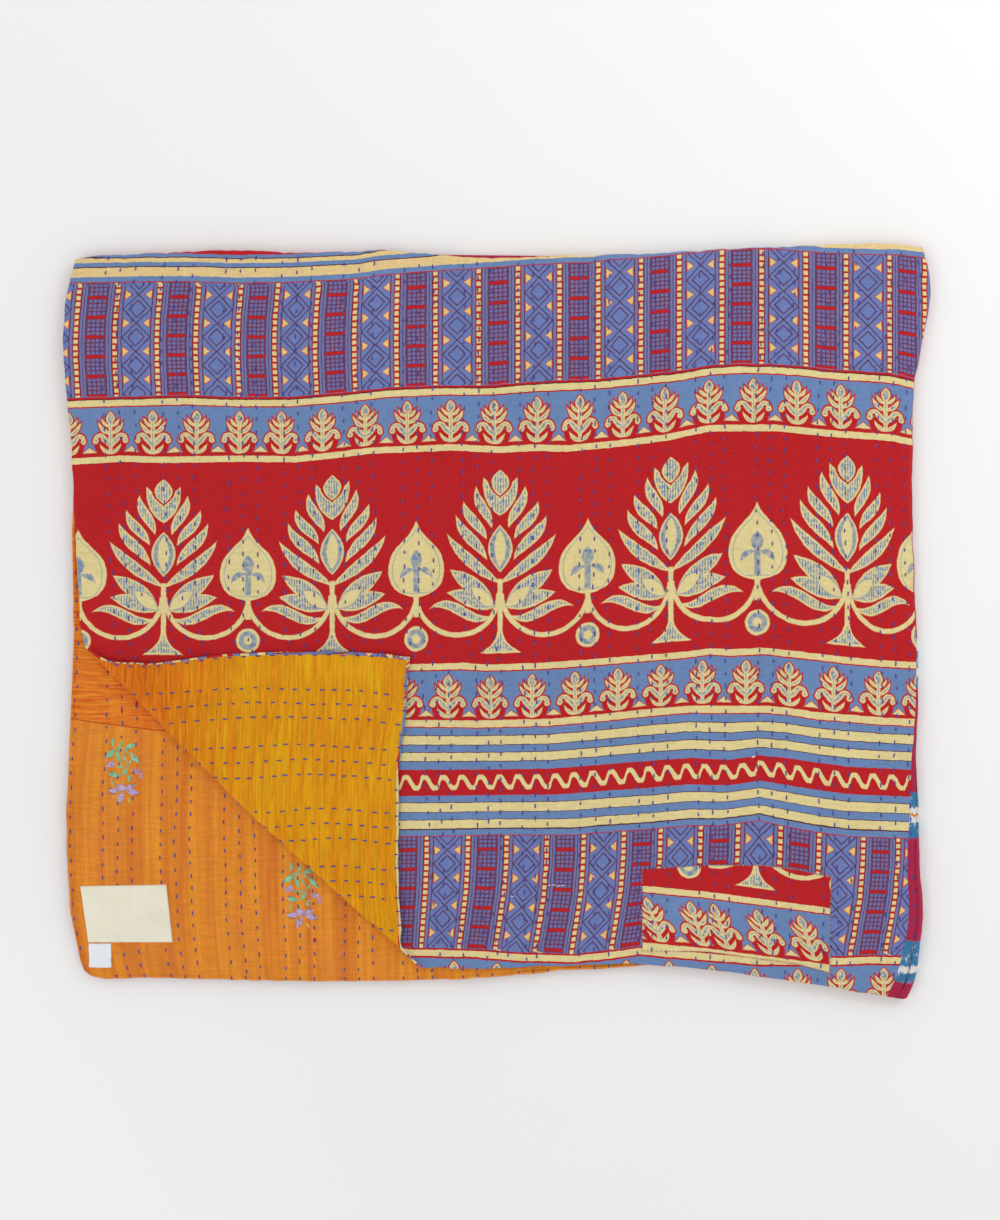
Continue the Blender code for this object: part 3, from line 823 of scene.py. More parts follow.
class Place:
    """Position on a surface whose numbers can be measured along any line."""

    def __init__(self, right, down):
        node = right.tree.nodes.new("ShaderNodeCombineXYZ")
        node.inputs["Z"].default_value = 1
        right.tree.links.new(right.socket, node.inputs["X"])
        right.tree.links.new(down.socket, node.inputs["Y"])
        self.right = right
        self.down = down
        self.tree = right.tree
        self.socket = node.outputs[0]

    def along(self, line, shift):
        node = self.tree.nodes.new("ShaderNodeVectorMath")
        node.operation = "DOT_PRODUCT"
        self.tree.links.new(self.socket, node.inputs[0])
        node.inputs[1].default_value = (line[0], line[1], shift)
        return Field(self.tree, node.outputs["Value"])

    def leaf(self, base, tip, width, bend=0.0, curl=0.0):
        """Distance outside a leaf of some width each side, less than 0 inside it."""
        base = np.array(base, dtype=float)
        run = np.array(tip) - base
        length = np.hypot(*run)
        direction = run / length
        aside = np.array((-direction[1], direction[0]))
        share = self.along(direction / length, -direction @ base / length)
        off = self.along(aside, -aside @ base)
        full = share * share.scaled(-4, 4)
        if bend or curl:
            off = off - full * share.scaled(curl, bend)
        return abs(off) - full * width

    def round(self, middle, radius):
        """Distance outside a circle."""
        node = self.tree.nodes.new("ShaderNodeVectorMath")
        node.operation = "DISTANCE"
        self.tree.links.new(self.socket, node.inputs[0])
        node.inputs[1].default_value = (middle[0], middle[1], 1)
        return Field(self.tree, node.outputs["Value"]) - radius

    def profile(self, start, end, width, points):
        """Distance outside a shape that is mirrored about its own middle line."""
        node = self.tree.nodes.new("ShaderNodeFloatCurve")
        share = self.down.scaled(1 / (end - start), -start / (end - start))
        self.tree.links.new(share.socket, node.inputs["Value"])
        curve = node.mapping.curves[0]
        for number, point in enumerate(points):
            if number == 0 or number == len(points) - 1:
                curve.points[0 if number == 0 else len(curve.points) - 1].location = point
            else:
                curve.points.new(*point)
        node.mapping.update()
        beyond = (abs(share - 0.5) - 0.5) * (end - start)
        return (abs(self.right) - Field(self.tree, node.outputs[0]) * width).most(beyond)


def union(distances):
    """Distance outside several shapes together."""
    total = distances[0]
    for distance in distances[1:]:
        total = total.least(distance)
    return total


class Cotton:
    """Nodes of one cloth material, whose colour is worked out from fields."""

    def __init__(self, name, cloth_map="Cloth"):
        self.material = bpy.data.materials.new(name)
        self.material.use_nodes = True
        self.tree = self.material.node_tree
        self.shader = self.tree.nodes["Principled BSDF"]
        self.across, self.up = self.place_of(cloth_map)

    def place_of(self, uv_map):
        """Right and up numbers of a UV map."""
        node = self.tree.nodes.new("ShaderNodeUVMap")
        node.uv_map = uv_map
        split = self.tree.nodes.new("ShaderNodeSeparateXYZ")
        self.tree.links.new(node.outputs["UV"], split.inputs["Vector"])
        return Field(self.tree, split.outputs["X"]), Field(self.tree, split.outputs["Y"])

    def cloud(self, right, down, pitch_right, pitch_down, seed, detail=2.0):
        """Noise from -1 to 1 that changes over the two pitches."""
        node = self.tree.nodes.new("ShaderNodeTexNoise")
        node.noise_dimensions = "2D"
        node.inputs["Scale"].default_value = 1
        node.inputs["Detail"].default_value = detail
        node.inputs["Roughness"].default_value = 0.6
        join = self.tree.nodes.new("ShaderNodeCombineXYZ")
        self.tree.links.new(right.scaled(1 / pitch_right, seed).socket, join.inputs["X"])
        self.tree.links.new(down.scaled(1 / pitch_down, seed * 1.7).socket, join.inputs["Y"])
        self.tree.links.new(join.outputs[0], node.inputs["Vector"])
        return Field(self.tree, node.outputs[0]).scaled(4, -2)

    def bands(self, field, first, table):
        """Colour of flat bands: each table row is where a band ends, and its colour."""
        node = self.tree.nodes.new("ShaderNodeValToRGB")
        ramp = node.color_ramp
        ramp.interpolation = "CONSTANT"
        span = table[-1][0] - first
        self.tree.links.new(field.scaled(1 / span, -first / span).socket, node.inputs[0])
        starts = [0] + [(end - first) / span for end, _ in table[:-1]]
        ramp.elements[1].position = 1
        for number, (start, (_, colour)) in enumerate(zip(starts, table)):
            if number == 0:
                stop = ramp.elements[0]
            elif number == len(table) - 1:
                stop = ramp.elements[len(ramp.elements) - 1]
                stop.position = start
            else:
                stop = ramp.elements.new(start)
            stop.color = colour
        return node.outputs[0]

    def over(self, share, low, high, blend="MIX"):
        """Colour high laid over colour low by a share."""
        node = self.tree.nodes.new("ShaderNodeMix")
        node.data_type = "RGBA"
        node.blend_type = blend
        node.clamp_factor = True
        self.put(node.inputs[0], share)
        self.put(node.inputs[6], low)
        self.put(node.inputs[7], high)
        return node.outputs[2]

    def put(self, target, value):
        """Link or set an input of a node."""
        if isinstance(value, Field):
            value = value.socket
        if isinstance(value, bpy.types.NodeSocket):
            self.tree.links.new(value, target)
        else:
            target.default_value = value

    def finish(self, colour, streak=0.10, run=0.10, painted_crease_shade=0.06, thread=0.00062, relief=0.7,
               crease_size=(0.009, 0.0026)):
        """Join the colour to the shader with fades, streaks, weave, painted shade and light of the
        creases, bump and roughness.
        """
        slub = self.cloud(self.across, self.up, 0.016, 0.0011, 3.1)
        slub_up = self.cloud(self.across, self.up, 0.0011, 0.018, 9.4)
        fade_wide = self.cloud(self.across, self.up, 0.055, 0.07, 5.2, 3.0)
        crease = self.cloud(self.across, self.up, *crease_size, 17.3, 3.0)
        weave = self.across.wave(thread) * self.up.wave(thread)
        light = slub.scaled(0.5 * streak, 1.0) + slub_up * (0.5 * run)
        # The crease noise, which also makes the bump's wrinkles, darkens and lightens the colour here:
        # painted shade and light of the creases.
        light = light + fade_wide * 0.035 + weave * 0.025 + crease * painted_crease_shade
        shade = self.tree.nodes.new("ShaderNodeCombineColor")
        for name in ("Red", "Green", "Blue"):
            self.put(shade.inputs[name], light)
        shaded = self.over(1.0, colour, shade.outputs[0], "MULTIPLY")
        self.put(self.shader.inputs["Base Color"], shaded)
        self.put(self.shader.inputs["Roughness"], slub.scaled(0.05, 0.84))
        self.shader.inputs["Specular IOR Level"].default_value = 0.15
        self.shader.inputs["Sheen Weight"].default_value = 0.06
        self.shader.inputs["Sheen Roughness"].default_value = 0.55
        bump = self.tree.nodes.new("ShaderNodeBump")
        bump.inputs["Strength"].default_value = relief
        bump.inputs["Distance"].default_value = 0.0006
        height = weave * 0.25 + slub * 0.3 + slub_up * 0.3 + crease * 0.9
        self.put(bump.inputs["Height"], height)
        self.put(self.shader.inputs["Normal"], bump.outputs["Normal"])
        return self.material


def print_cotton(name):
    """Cotton of the print, and the place on the straight print with the blocks' small wobble."""
    cotton = Cotton(name)
    right, up = cotton.place_of("Print")
    wobble_right = cotton.cloud(right, up, 7.0, 6.0, 2.3) * 0.35
    wobble_down = cotton.cloud(right, up, 8.0, 7.0, 7.9) * 0.35
    return cotton, right + wobble_right, up + wobble_down


def hatch(cotton, right, down):
    """Mottled grey-blue lines on cream, as inside the leaves."""
    mottle = cotton.cloud(right, down, 4.5, 3.5, 12.7)
    lines = right.wave(2.7)
    share = (lines * 0.55 + mottle * 0.75).sum_of("MULTIPLY_ADD", 0.9, 0.48, clamp=True)
    return cotton.over(share, CREAM, GREYBLUE)


def geometric(cotton, right, down, diamond_right, diamond_down, bar_down):
    """Columns of diamonds, of cream squares and of checks."""
    mirror = right.folded(diamond_right, COLUMN_PITCH)
    columns = cotton.bands(mirror, 0, (
        (14.2, tone(112, 130, 190)), (15.0, DARK), (17.9, PURPLE), (18.5, DARK), (24.1, RED),
        (24.8, DARK), (27.3, PURPLE), (27.9, DARK), (30.3, PURPLE), (31.0, DARK),
        (42, tone(116, 40, 54))))
    squares = (abs(mirror - 21.3) - 2.1).most(down.folded(bar_down, 3.1) - 1.95)
    columns = cotton.over(squares.inside(), columns, CREAM)
    along = down.folded(diamond_down, 14.15)
    slant = mirror + along
    line = abs(abs(slant - 11.4) - 2.9) - 0.72
    line = line.most(mirror - 14.3)
    columns = cotton.over(line.inside(), columns, DARK)
    wedge = (mirror.scaled(-1, 7 + 1.4 * 14.15) - along * 1.4).most(mirror - 13.2)
    columns = cotton.over((wedge - 1.0).most(mirror - 14.2).inside(), columns, RED)
    columns = cotton.over(wedge.inside(), columns, tone(240, 205, 130))
    check = mirror.scaled(-1, COLUMN_PITCH)
    from_bar = abs(down.repeated(bar_down, 19.6))
    dots = (abs(check.repeated(2.25, 4.5)) - 1.65).most(abs(from_bar.repeated(3.65, 4.1)) - 1.5)
    dots = dots.most(mirror.scaled(-1, 31.2))
    columns = cotton.over(dots.inside(), columns, tone(114, 118, 178))
    bars = (from_bar - 1.6).most(mirror.scaled(-1, 31))
    return cotton.over(bars.inside(), columns, RED)


def butas(cotton, right, down, base, first_right, top):
    """Row of small flowering plants on a red scalloped ground."""
    across = right.repeated(first_right, PLANT_PITCH)
    spot = Place(abs(across), down - top)
    low = spot.down
    plant = union((
        spot.leaf((0, 14.5), (0, 0.4), 4.4),
        spot.round((0, 8.4), 4.3),
        spot.leaf((-1.5, 16.8), (9.3, 7.6), 1.7, 1.9),
        spot.leaf((-2, 24), (12.8, 11), 2.2, 2.7),
        spot.leaf((-2.5, 38), (12, 22.5), 2.9),
        (abs(spot.round((10.9, 29), 4.5)) - 2.0).most(low - 30),
        spot.round((15.3, 30.2), 2.8),
        spot.leaf((-2.5, 43.6), (10.8, 33.6), 1.9, 2.4),
        (spot.right - 2.0).most(abs(low - 28) - 15.7)))
    crown = (abs(across).scaled(-1, PLANT_PITCH / 2) - (low - 36.3) * 1.25).most(low - 42)
    ground = spot.round((0, 33), 16.5).least(low.scaled(-1, 42.5))
    ground = ground.most(low.scaled(-1, 31)).least(low.scaled(-1, 43.6))
    red = union((plant - 1.6, ground, crown - 1.2))
    colour = cotton.over(red.inside(), base, RED)
    colour = cotton.over(plant.inside(), colour, CREAM)
    veins = (plant + 1.5).least((spot.right - 0.5).most(abs(low - 25) - 14))
    mottle = cotton.cloud(right, down, 3.0, 3.0, 31.4)
    colour = cotton.over(veins.inside() * mottle.scaled(0.6, 0.62), colour, GREYBLUE)
    return cotton.over(crown.inside(), colour, CREAM)


def trees(cotton, right, down, base):
    """Leafing plants, with pointed round leaves and medallions between them."""
    spot = Place(right.folded(162, TREE_PITCH), down.scaled(1 / 0.98, -480.5 / 0.98))
    low = spot.down
    bud = spot.profile(0, 24.6, 9, (
        (0, 0), (0.16, 0.5), (0.33, 0.88), (0.5, 1), (0.66, 0.9), (0.84, 0.55), (1, 0)))
    vesica = spot.leaf((0, 53.2), (0, 98.4), 12)
    calyx = spot.leaf((-9, 48), (17, 8), 6.6, 3).most(bud.scaled(-1, 2.7))
    leaves = union((
        bud,
        calyx,
        spot.leaf((8.5, 56), (24.4, 17), 5.3, -2.5, 8),
        spot.leaf((14, 67), (37.4, 32), 5.3, -2.5, 8),
        spot.leaf((13.4, 87), (45, 45.5), 5.6, -3, 9),
        spot.leaf((0, 109.5), (54.2, 63.5), 5.8, 2, 4),
        spot.leaf((8.5, 140), (72, 134), 5.4, 12, -24)))
    tulip = union((
        spot.leaf((5, 132), (51, 97.5), 8.5, -3.5, 3),
        spot.leaf((5.5, 132.5), (54, 119.5), 7.6, 1, -3)))
    leaves = leaves.least(tulip)
    bell = spot.profile(155, 176.5, 20.5, (
        (0, 0.12), (0.33, 0.22), (0.6, 0.42), (0.8, 0.68), (1, 1)))
    stem = (abs(spot.right) - 2.5).most(abs(low - 131) - 26)
    vine = (abs(spot.round((43.9, 117.5), 42.6)) - 2.3).most(low.scaled(-1, 119))
    heart_place = Place(spot.right - TREE_PITCH, low)
    heart = heart_place.profile(50, 123, 28.4, (
        (0, 0), (0.1, 0.13), (0.2, 0.34), (0.3, 0.6), (0.4, 0.82), (0.5, 0.94), (0.64, 1),
        (0.78, 0.94), (0.88, 0.78), (0.95, 0.5), (1, 0.05)))
    heart_stem = (abs(heart_place.right) - 2.6).most(abs(low - 130) - 12)
    medal = heart_place.round((0, 163), 12)
    solid = union((leaves, bell, stem, vine, heart, heart_stem, medal, vesica))
    colour = cotton.over(solid.inside(), base, CREAM)
    hatched = hatch(cotton, right, down)
    colour = cotton.over((leaves + 1.7).inside(), colour, hatched)
    plain_front = spot.leaf((5, 132), (30, 113), 6.5)
    colour = cotton.over(plain_front.inside(), colour, CREAM)
    colour = cotton.over((abs(plain_front) - 0.35).inside(), colour, GREYBLUE)
    colour = cotton.over((bell + 2.2).inside(), colour, hatched)
    mottle = cotton.cloud(right, down, 5.0, 4.0, 21.9)
    ring = (vesica + 1.8).most(spot.leaf((0, 57), (0, 94), 5.8).scaled(-1, 0))
    colour = cotton.over(ring.inside() * mottle.scaled(0.35, 0.75), colour, GREYBLUE)
    rim = abs(heart + 4.2) - 0.45
    colour = cotton.over(rim.inside() * 0.7, colour, GREYBLUE)
    lily = union((
        heart_place.leaf((0, 97), (0, 77), 6),
        Place(abs(heart_place.right), low).leaf((2, 96), (17, 105), 3, -3),
        (abs(heart_place.right) - 3).most(abs(low - 106) - 11.5)))
    colour = cotton.over(lily.inside() * mottle.scaled(0.4, 0.72), colour, GREYBLUE)
    wheel = abs(medal + 5.2) - 2.4
    return cotton.over(wheel.inside() * mottle.scaled(0.35, 0.75), colour, GREYBLUE)


def serpent(cotton, right, down, base):
    """Wave of cream in the narrow red band."""
    phase = 2 * np.pi * (0.25 - 425 / WAVE_PITCH)
    wave = (right + right.wave(WAVE_PITCH, phase)).wave(WAVE_PITCH, phase)
    rounded = wave * (wave * wave).scaled(-0.35, 1.35)
    line = abs(rounded * 5.4 + (down - 782.7)) + wave * wave * 1.9
    inside = (line - 4.0).most(abs(down - 782.7) - 8.0)
    return cotton.over(inside.inside(), base, CREAM)


def column_band(name, start, table, middle, half, places):
    """Band of columns between a start and the ends of the table's flat bands."""
    cotton, right, down = print_cotton(name)
    base = cotton.bands(down, start, table)
    columns = geometric(cotton, right, down, *places)
    return cotton.finish(cotton.over((abs(down - middle) - half).inside(0.6), base, columns))


def plant_band(name, start, table, middle, half, places):
    """Band of small plants between a start and the ends of the table's flat bands."""
    cotton, right, down = print_cotton(name)
    base = cotton.bands(down, start, table)
    plants = butas(cotton, right, down, base, *places)
    return cotton.finish(cotton.over((abs(down - middle) - half).inside(0.6), base, plants))


def build_print_materials():
    """One material for each band of the print, from the top down, with the level where it ends."""
    warm = tone(238, 208, 146)
    upper_columns = column_band("print_columns", 150, (
        (255.3, RED), (258.3, BLUE), (258.9, DARK), (263, warm), (263.7, DARK), (267.6, BLUE),
        (268.2, DARK), (277, warm), (277.7, DARK), (282.2, BLUE), (284, RED), (397.4, BLUE),
        (399.6, RED), (400.2, DARK), (410, CREAM)), 340.7, 56.7, (135, 310.4, 298.5))
    first_plants = plant_band("print_first_plants", 400, (
        (407, CREAM), (408.4, RED), (457.8, BLUE), (470, CREAM)), 433.4, 24.8, (110, 412))

    cotton, right, down = print_cotton("print_trees")
    base = cotton.bands(down, 450, ((464.1, CREAM), (663.5, RED), (680, CREAM)))
    tree_band = cotton.finish(trees(cotton, right, down, base))

    second_plants = plant_band("print_second_plants", 660, (
        (669.8, CREAM), (671.2, RED), (719.8, BLUE), (730, CREAM)), 695.5, 24.7, (404, 674.4))

    cotton, right, down = print_cotton("print_stripes")
    base = cotton.bands(down, 715, (
        (727, CREAM), (728, RED), (735, BLUE), (735.8, DARK), (744.4, CREAM), (745.2, DARK),
        (752, BLUE), (752.8, DARK), (761, CREAM), (761.8, DARK), (769.4, BLUE), (795.8, RED),
        (802.2, BLUE), (803, DARK), (815, CREAM)))
    stripes = cotton.finish(serpent(cotton, right, down, base))

    lower_columns = column_band("print_lower_columns", 800, (
        (811.8, CREAM), (812.6, DARK), (819.6, BLUE), (820.4, DARK), (829, CREAM), (829.8, DARK),
        (835.6, BLUE), (837, RED), (951.4, BLUE), (953, RED), (965, CREAM)),
        894.2, 57.2, (448, 865, 850.5))
    hem_plants = plant_band("print_hem_plants", 950, (
        (959.6, CREAM), (960.8, RED), (1008, BLUE), (1014, CREAM), (1200, RED)),
        984, 24, (841, 963.6))
    return [(404.3, upper_columns), (461, first_plants), (667, tree_band), (723.3, second_plants),
            (807.5, stripes), (956, lower_columns), (1e6, hem_plants)]


def build_gold_cotton():
    """Yellow-gold backing, more orange at its far end."""
    cotton = Cotton("gold_cotton")
    across, up = cotton.across, cotton.up
    # Streaks across the rows: partly the cloth's own uneven tone, partly painted highlight and shade of
    # the fine ridges there.
    streaks = cotton.cloud(across, up, 0.09, 0.0024, 4.4, 3.0)
    colour = cotton.over(streaks.scaled(0.55, 0.45), tone(248, 150, 0), tone(255, 196, 8))
    broad = cotton.cloud(across, up, 0.12, 0.021, 8.6)
    colour = cotton.over(broad.scaled(0.3, 0.14), colour, tone(238, 130, 0))
    tip = (up + cotton.cloud(across, up, 0.05, 0.006, 6.1) * 0.016).scaled(11, -11 * 0.140)
    tip = tip.sum_of("MULTIPLY", 0.95, clamp=True)
    rust = cotton.cloud(across, up, 0.03, 0.0024, 15.0, 3.0)
    tip_colour = cotton.over(rust.scaled(0.6, 0.38), tone(252, 140, 8), tone(220, 88, 8))
    colour = cotton.over(tip, colour, tip_colour)
    return cotton.finish(colour, streak=0.22, run=0.03, painted_crease_shade=0.15, relief=1.0,
                         crease_size=(0.04, 0.0022))


def build_orange_cotton():
    """Orange checked backing of layer 2, and the deeper cloth seamed above it."""
    cotton = Cotton("orange_cotton")
    across, up = cotton.across, cotton.up
    seam = across.scaled(0.13, 1.0640).least(1.0738)
    past = up - seam
    streaks = cotton.cloud(across, up, 0.0042, 0.34, 6.6, 3.0)
    colour = cotton.over(streaks.scaled(0.6, 0.42), tone(244, 136, 30), tone(255, 168, 48))
    brown = cotton.cloud(across, up, 0.013, 0.4, 22.6, 3.0)
    colour = cotton.over(brown.scaled(0.8, 0.14), colour, tone(222, 104, 34))
    blush = cotton.cloud(across, up, 0.06, 0.05, 27.1, 3.0)
    colour = cotton.over(blush.scaled(0.35, 0.0), colour, tone(234, 124, 62))
    pins = across.wave(0.00215) * up.wave(0.0019)
    colour = cotton.over(pins.scaled(0.36, 0.12), colour, tone(250, 178, 74))
    rust = cotton.cloud(across, up, 0.028, 0.0021, 11.2, 3.0)
    upper = cotton.over(rust.scaled(0.7, 0.40), tone(255, 154, 44), tone(234, 98, 28))
    colour = cotton.over(past.inside(0.0004), colour, upper)
    colour = cotton.over((abs(past) - 0.0005).inside(0.0004), colour, tone(196, 84, 28))
    return cotton.finish(colour, streak=0.06, run=0.10, painted_crease_shade=0.08, relief=0.9,
                         crease_size=(0.02, 0.0026))


def build_ikat_cotton():
    """Crimson cloth with feathered bands of teal and white."""
    cotton = Cotton("ikat_cotton")
    across, up = cotton.across, cotton.up
    feather = cotton.cloud(across, up, 0.0012, 0.05, 5.5, 3.0)
    crimson = tone(176, 36, 74)
    teal = tone(58, 122, 168)
    white = tone(232, 228, 226)
    level = (up + feather * 0.0014).sum_of("MODULO", 0.640)
    colour = cotton.bands(level, 0, (
        (0.0115, crimson), (0.0180, teal), (0.0235, white), (0.0445, teal), (0.1265, crimson),
        (0.1395, teal), (0.1430, white), (0.1465, tone(232, 128, 52)), (0.1525, white),
        (0.1635, teal), (0.252, crimson), (0.262, teal), (0.270, white), (0.284, teal),
        (0.295, white), (0.640, crimson)))
    cloud = cotton.cloud(across, up, 0.004, 0.006, 9.7, 3.0)
    near = abs(up - 0.028).least(abs(up - 0.273)).least(abs(up - 0.146))
    near = near.sum_of("MULTIPLY_ADD", -90, 1.6, clamp=True)
    share = near.sum_of("MULTIPLY", cloud.scaled(1.4, -0.25), clamp=True)
    colour = cotton.over(share * 0.8, colour, white)
    return cotton.finish(colour, streak=0.10, run=0.12)


def build_label_cotton():
    """Close-woven cream cotton."""
    cotton = Cotton("label_cotton")
    soil = cotton.cloud(cotton.across, cotton.up, 0.02, 0.02, 3.3, 3.0)
    colour = cotton.over(soil.scaled(0.3, 0.3), tone(236, 232, 212), tone(228, 222, 198))
    return cotton.finish(colour, streak=0.03, run=0.03, painted_crease_shade=0.01, thread=0.0008, relief=0.4)


def build_tag_satin():
    """White satin with a slight gloss along its threads, and painted sheen streaks in its colour."""
    cotton = Cotton("tag_satin")
    sheen = cotton.cloud(cotton.across, cotton.up, 0.0009, 0.012, 3.9)
    # Painted sheen: the colour is lighter and darker in streaks along the threads. The same noise also
    # sets the roughness.
    colour = cotton.over(sheen.scaled(0.3, 0.4), tone(232, 235, 238), tone(220, 224, 232))
    material = cotton.finish(colour, streak=0.02, run=0.04, painted_crease_shade=0.0, thread=0.0005, relief=0.25)
    cotton.put(cotton.shader.inputs["Roughness"], sheen.scaled(0.06, 0.42))
    cotton.shader.inputs["Specular IOR Level"].default_value = 0.5
    return material


def mottled(name, scale, low, high, rough, detail=2, stops=(0, 1)):
    """Material whose colour and roughness follow one soft noise, and its place and shader nodes."""
    material = bpy.data.materials.new(name)
    material.use_nodes = True
    tree = material.node_tree
    shader = tree.nodes["Principled BSDF"]
    place_node = tree.nodes.new("ShaderNodeTexCoord")
    texture = tree.nodes.new("ShaderNodeTexNoise")
    texture.inputs["Scale"].default_value = scale
    texture.inputs["Detail"].default_value = detail
    tree.links.new(place_node.outputs["Object"], texture.inputs["Vector"])
    ramp = tree.nodes.new("ShaderNodeValToRGB")
    for element, stop, colour in zip(ramp.color_ramp.elements, stops, (low, high)):
        element.position = stop
        element.color = colour
    tree.links.new(texture.outputs[0], ramp.inputs[0])
    tree.links.new(ramp.outputs[0], shader.inputs["Base Color"])
    tree.links.new(Field(tree, texture.outputs[0]).scaled(*rough).socket, shader.inputs["Roughness"])
    return material, place_node, shader


def build_thread(name, low, high):
    """Twisted cotton thread, lighter and darker along its length."""
    material, place_node, shader = mottled(
        name, 420, low, high, (0.2, 0.55), detail=3, stops=(0.32, 0.68))
    tree = material.node_tree
    twist = tree.nodes.new("ShaderNodeTexWave")
    twist.bands_direction = "DIAGONAL"
    twist.inputs["Scale"].default_value = 900
    tree.links.new(place_node.outputs["Object"], twist.inputs["Vector"])
    bump = tree.nodes.new("ShaderNodeBump")
    bump.inputs["Strength"].default_value = 0.5
    bump.inputs["Distance"].default_value = 0.0002
    tree.links.new(twist.outputs[1], bump.inputs["Height"])
    tree.links.new(bump.outputs["Normal"], shader.inputs["Normal"])
    shader.inputs["Sheen Weight"].default_value = 0.2
    return material


def build_floor_finish():
    """Pale even floor."""
    material, _, shader = mottled(
        "pale_floor", 3, (0.86, 0.865, 0.86, 1), (0.885, 0.885, 0.875, 1), (0.1, 0.7))
    shader.inputs["Specular IOR Level"].default_value = 0.2
    return material


def joined_lines(*parts):
    """Grid lines from parts of (distances, turns) laid end to end."""
    distance = np.concatenate([part[0] for part in parts])
    turn = np.concatenate([part[1] for part in parts])
    return distance, turn


def flat_lines(distance):
    """Grid lines with no turn over a hem."""
    return distance, np.ones(len(distance))


def corner_of_hems(columns, rows, column_turn, row_turn):
    """True in the square where two turned-in hems would lie over each other."""
    return max(column_turn) <= 0 and max(row_turn) <= 0


def long_rows(step):
    """Grid rows from the bottom hem over the top fold to the far hem."""
    hem = hem_lines(TURN_IN)
    top = fill([HALF_SHEET, FLAT_HEIGHT], step)[1:-1]
    fold = FLAT_HEIGHT + TOP_ARC * np.linspace(0, 1, FOLD_LINES)
    second = OPEN_HEIGHT - np.array(HIDDEN_LINES) * MM
    far_hem = (OPEN_HEIGHT - hem[0][::-1], hem[1][::-1])
    return joined_lines(hem, flat_lines(top), flat_lines(fold), flat_lines(second), far_hem)


def build_print_cloth():
    """The printed cloth: the upper side of layer 1 and the lower side of layer 2."""
    flat = flat_lines(row_columns(HALF_SHEET, SEAM_START, 0.0036)[1:])
    column, column_turn = joined_lines(hem_lines(TURN_IN), flat)
    row, row_turn = long_rows(0.0032)
    cloth, layers = cloth_grid(column, row, column_turn, row_turn, corner_of_hems)
    cut_crease(cloth, layers)
    return finish_cloth("print_cloth", cloth, layers, 1, print_uv=True)


def build_ikat_cloth():
    """The cloth round the right fold and under the quilt."""
    hem = hem_lines(TURN_IN)
    start = SEAM_START + np.array((-0.0018, -0.0002, 0.0008, 0.0024, 0.0056, 0.0090))
    fold = FLAT_WIDTH + SIDE_ARC * np.linspace(0, 1, 21)
    under = np.linspace(FLAT_WIDTH + SIDE_ARC, OPEN_WIDTH - 0.004, 12)[1:]
    far_hem = (OPEN_WIDTH - hem[0][::-1], hem[1][::-1])
    column, column_turn = joined_lines(
        flat_lines(start), flat_lines(fold), flat_lines(under), far_hem)
    row, row_turn = long_rows(0.0036)
    cloth, layers = cloth_grid(column, row, column_turn, row_turn, corner_of_hems)
    return finish_cloth("ikat_cloth", cloth, layers, 1)


def build_gold_backing():
    """The backing of layer 1's corner, which shows where the corner is turned back."""
    column = row_columns(BACKING_INSET, GOLD_WIDTH, 0.0030)
    row = fill([BACKING_INSET, GOLD_HEIGHT], 0.0024)
    cloth, layers = cloth_grid(column, row, np.ones(len(column)), np.ones(len(row)))
    cut_crease(cloth, layers)
    return finish_cloth("gold_backing", cloth, layers, -1)


def build_orange_backing():
    """The rest of the backing, which shows on layer 2 where the corner is turned back."""
    column = np.concatenate((
        row_columns(BACKING_INSET, GOLD_WIDTH, 0.0030),
        np.linspace(GOLD_WIDTH, FLAT_WIDTH, 14)[1:],
        FLAT_WIDTH + SIDE_ARC * np.linspace(0, 1, FOLD_LINES)[1:],
        np.linspace(FLAT_WIDTH + SIDE_ARC, OPEN_WIDTH - BACKING_INSET, 12)[1:]))
    row = np.concatenate((
        np.linspace(BACKING_INSET, GOLD_HEIGHT, 15),
        np.linspace(GOLD_HEIGHT, FLAT_HEIGHT, 9)[1:],
        FLAT_HEIGHT + TOP_ARC * np.linspace(0, 1, 7)[1:],
        OPEN_HEIGHT - np.array(HIDDEN_BACKING_LINES) * MM,
        fill([OPEN_HEIGHT - 0.370, OPEN_HEIGHT - BACKING_INSET], 0.0026)))

    def under_gold(columns, rows, column_turn, row_turn):
        return max(columns) <= GOLD_WIDTH + 1e-6 and max(rows) <= GOLD_HEIGHT + 1e-6

    cloth, layers = cloth_grid(column, row, np.ones(len(column)), np.ones(len(row)), under_gold)
    return finish_cloth("orange_backing", cloth, layers, -1)


def sewn_grid(outline, layer, columns, rows):
    """Places on the open cloth of a grid inside a sewn-on piece's outline, row by row downward."""
    top = np.array(outline["top"]) * MM
    bottom = np.array(outline["bottom"]) * MM
    stations = np.linspace(0, 1, len(top))
    share, down = np.meshgrid(columns, rows)
    x = np.zeros_like(share)
    y = np.zeros_like(share)
    for table, weight in ((top, 1 - down), (bottom, down)):
        x += weight * np.interp(share, stations, table[:, 0])
        y += weight * np.interp(share, stations, table[:, 1])
    u, v = cloth_place(layer, x.ravel(), y.ravel())
    return u, v, share.ravel(), down.ravel()


def edged(step, count):
    """Shares from 0 to 1 with closer ones at both ends, for a rounded edge."""
    start = np.array((0, step * 0.3, step))
    return np.concatenate((start, np.linspace(0, 1, count + 1)[1:-1], 1 - start[::-1]))


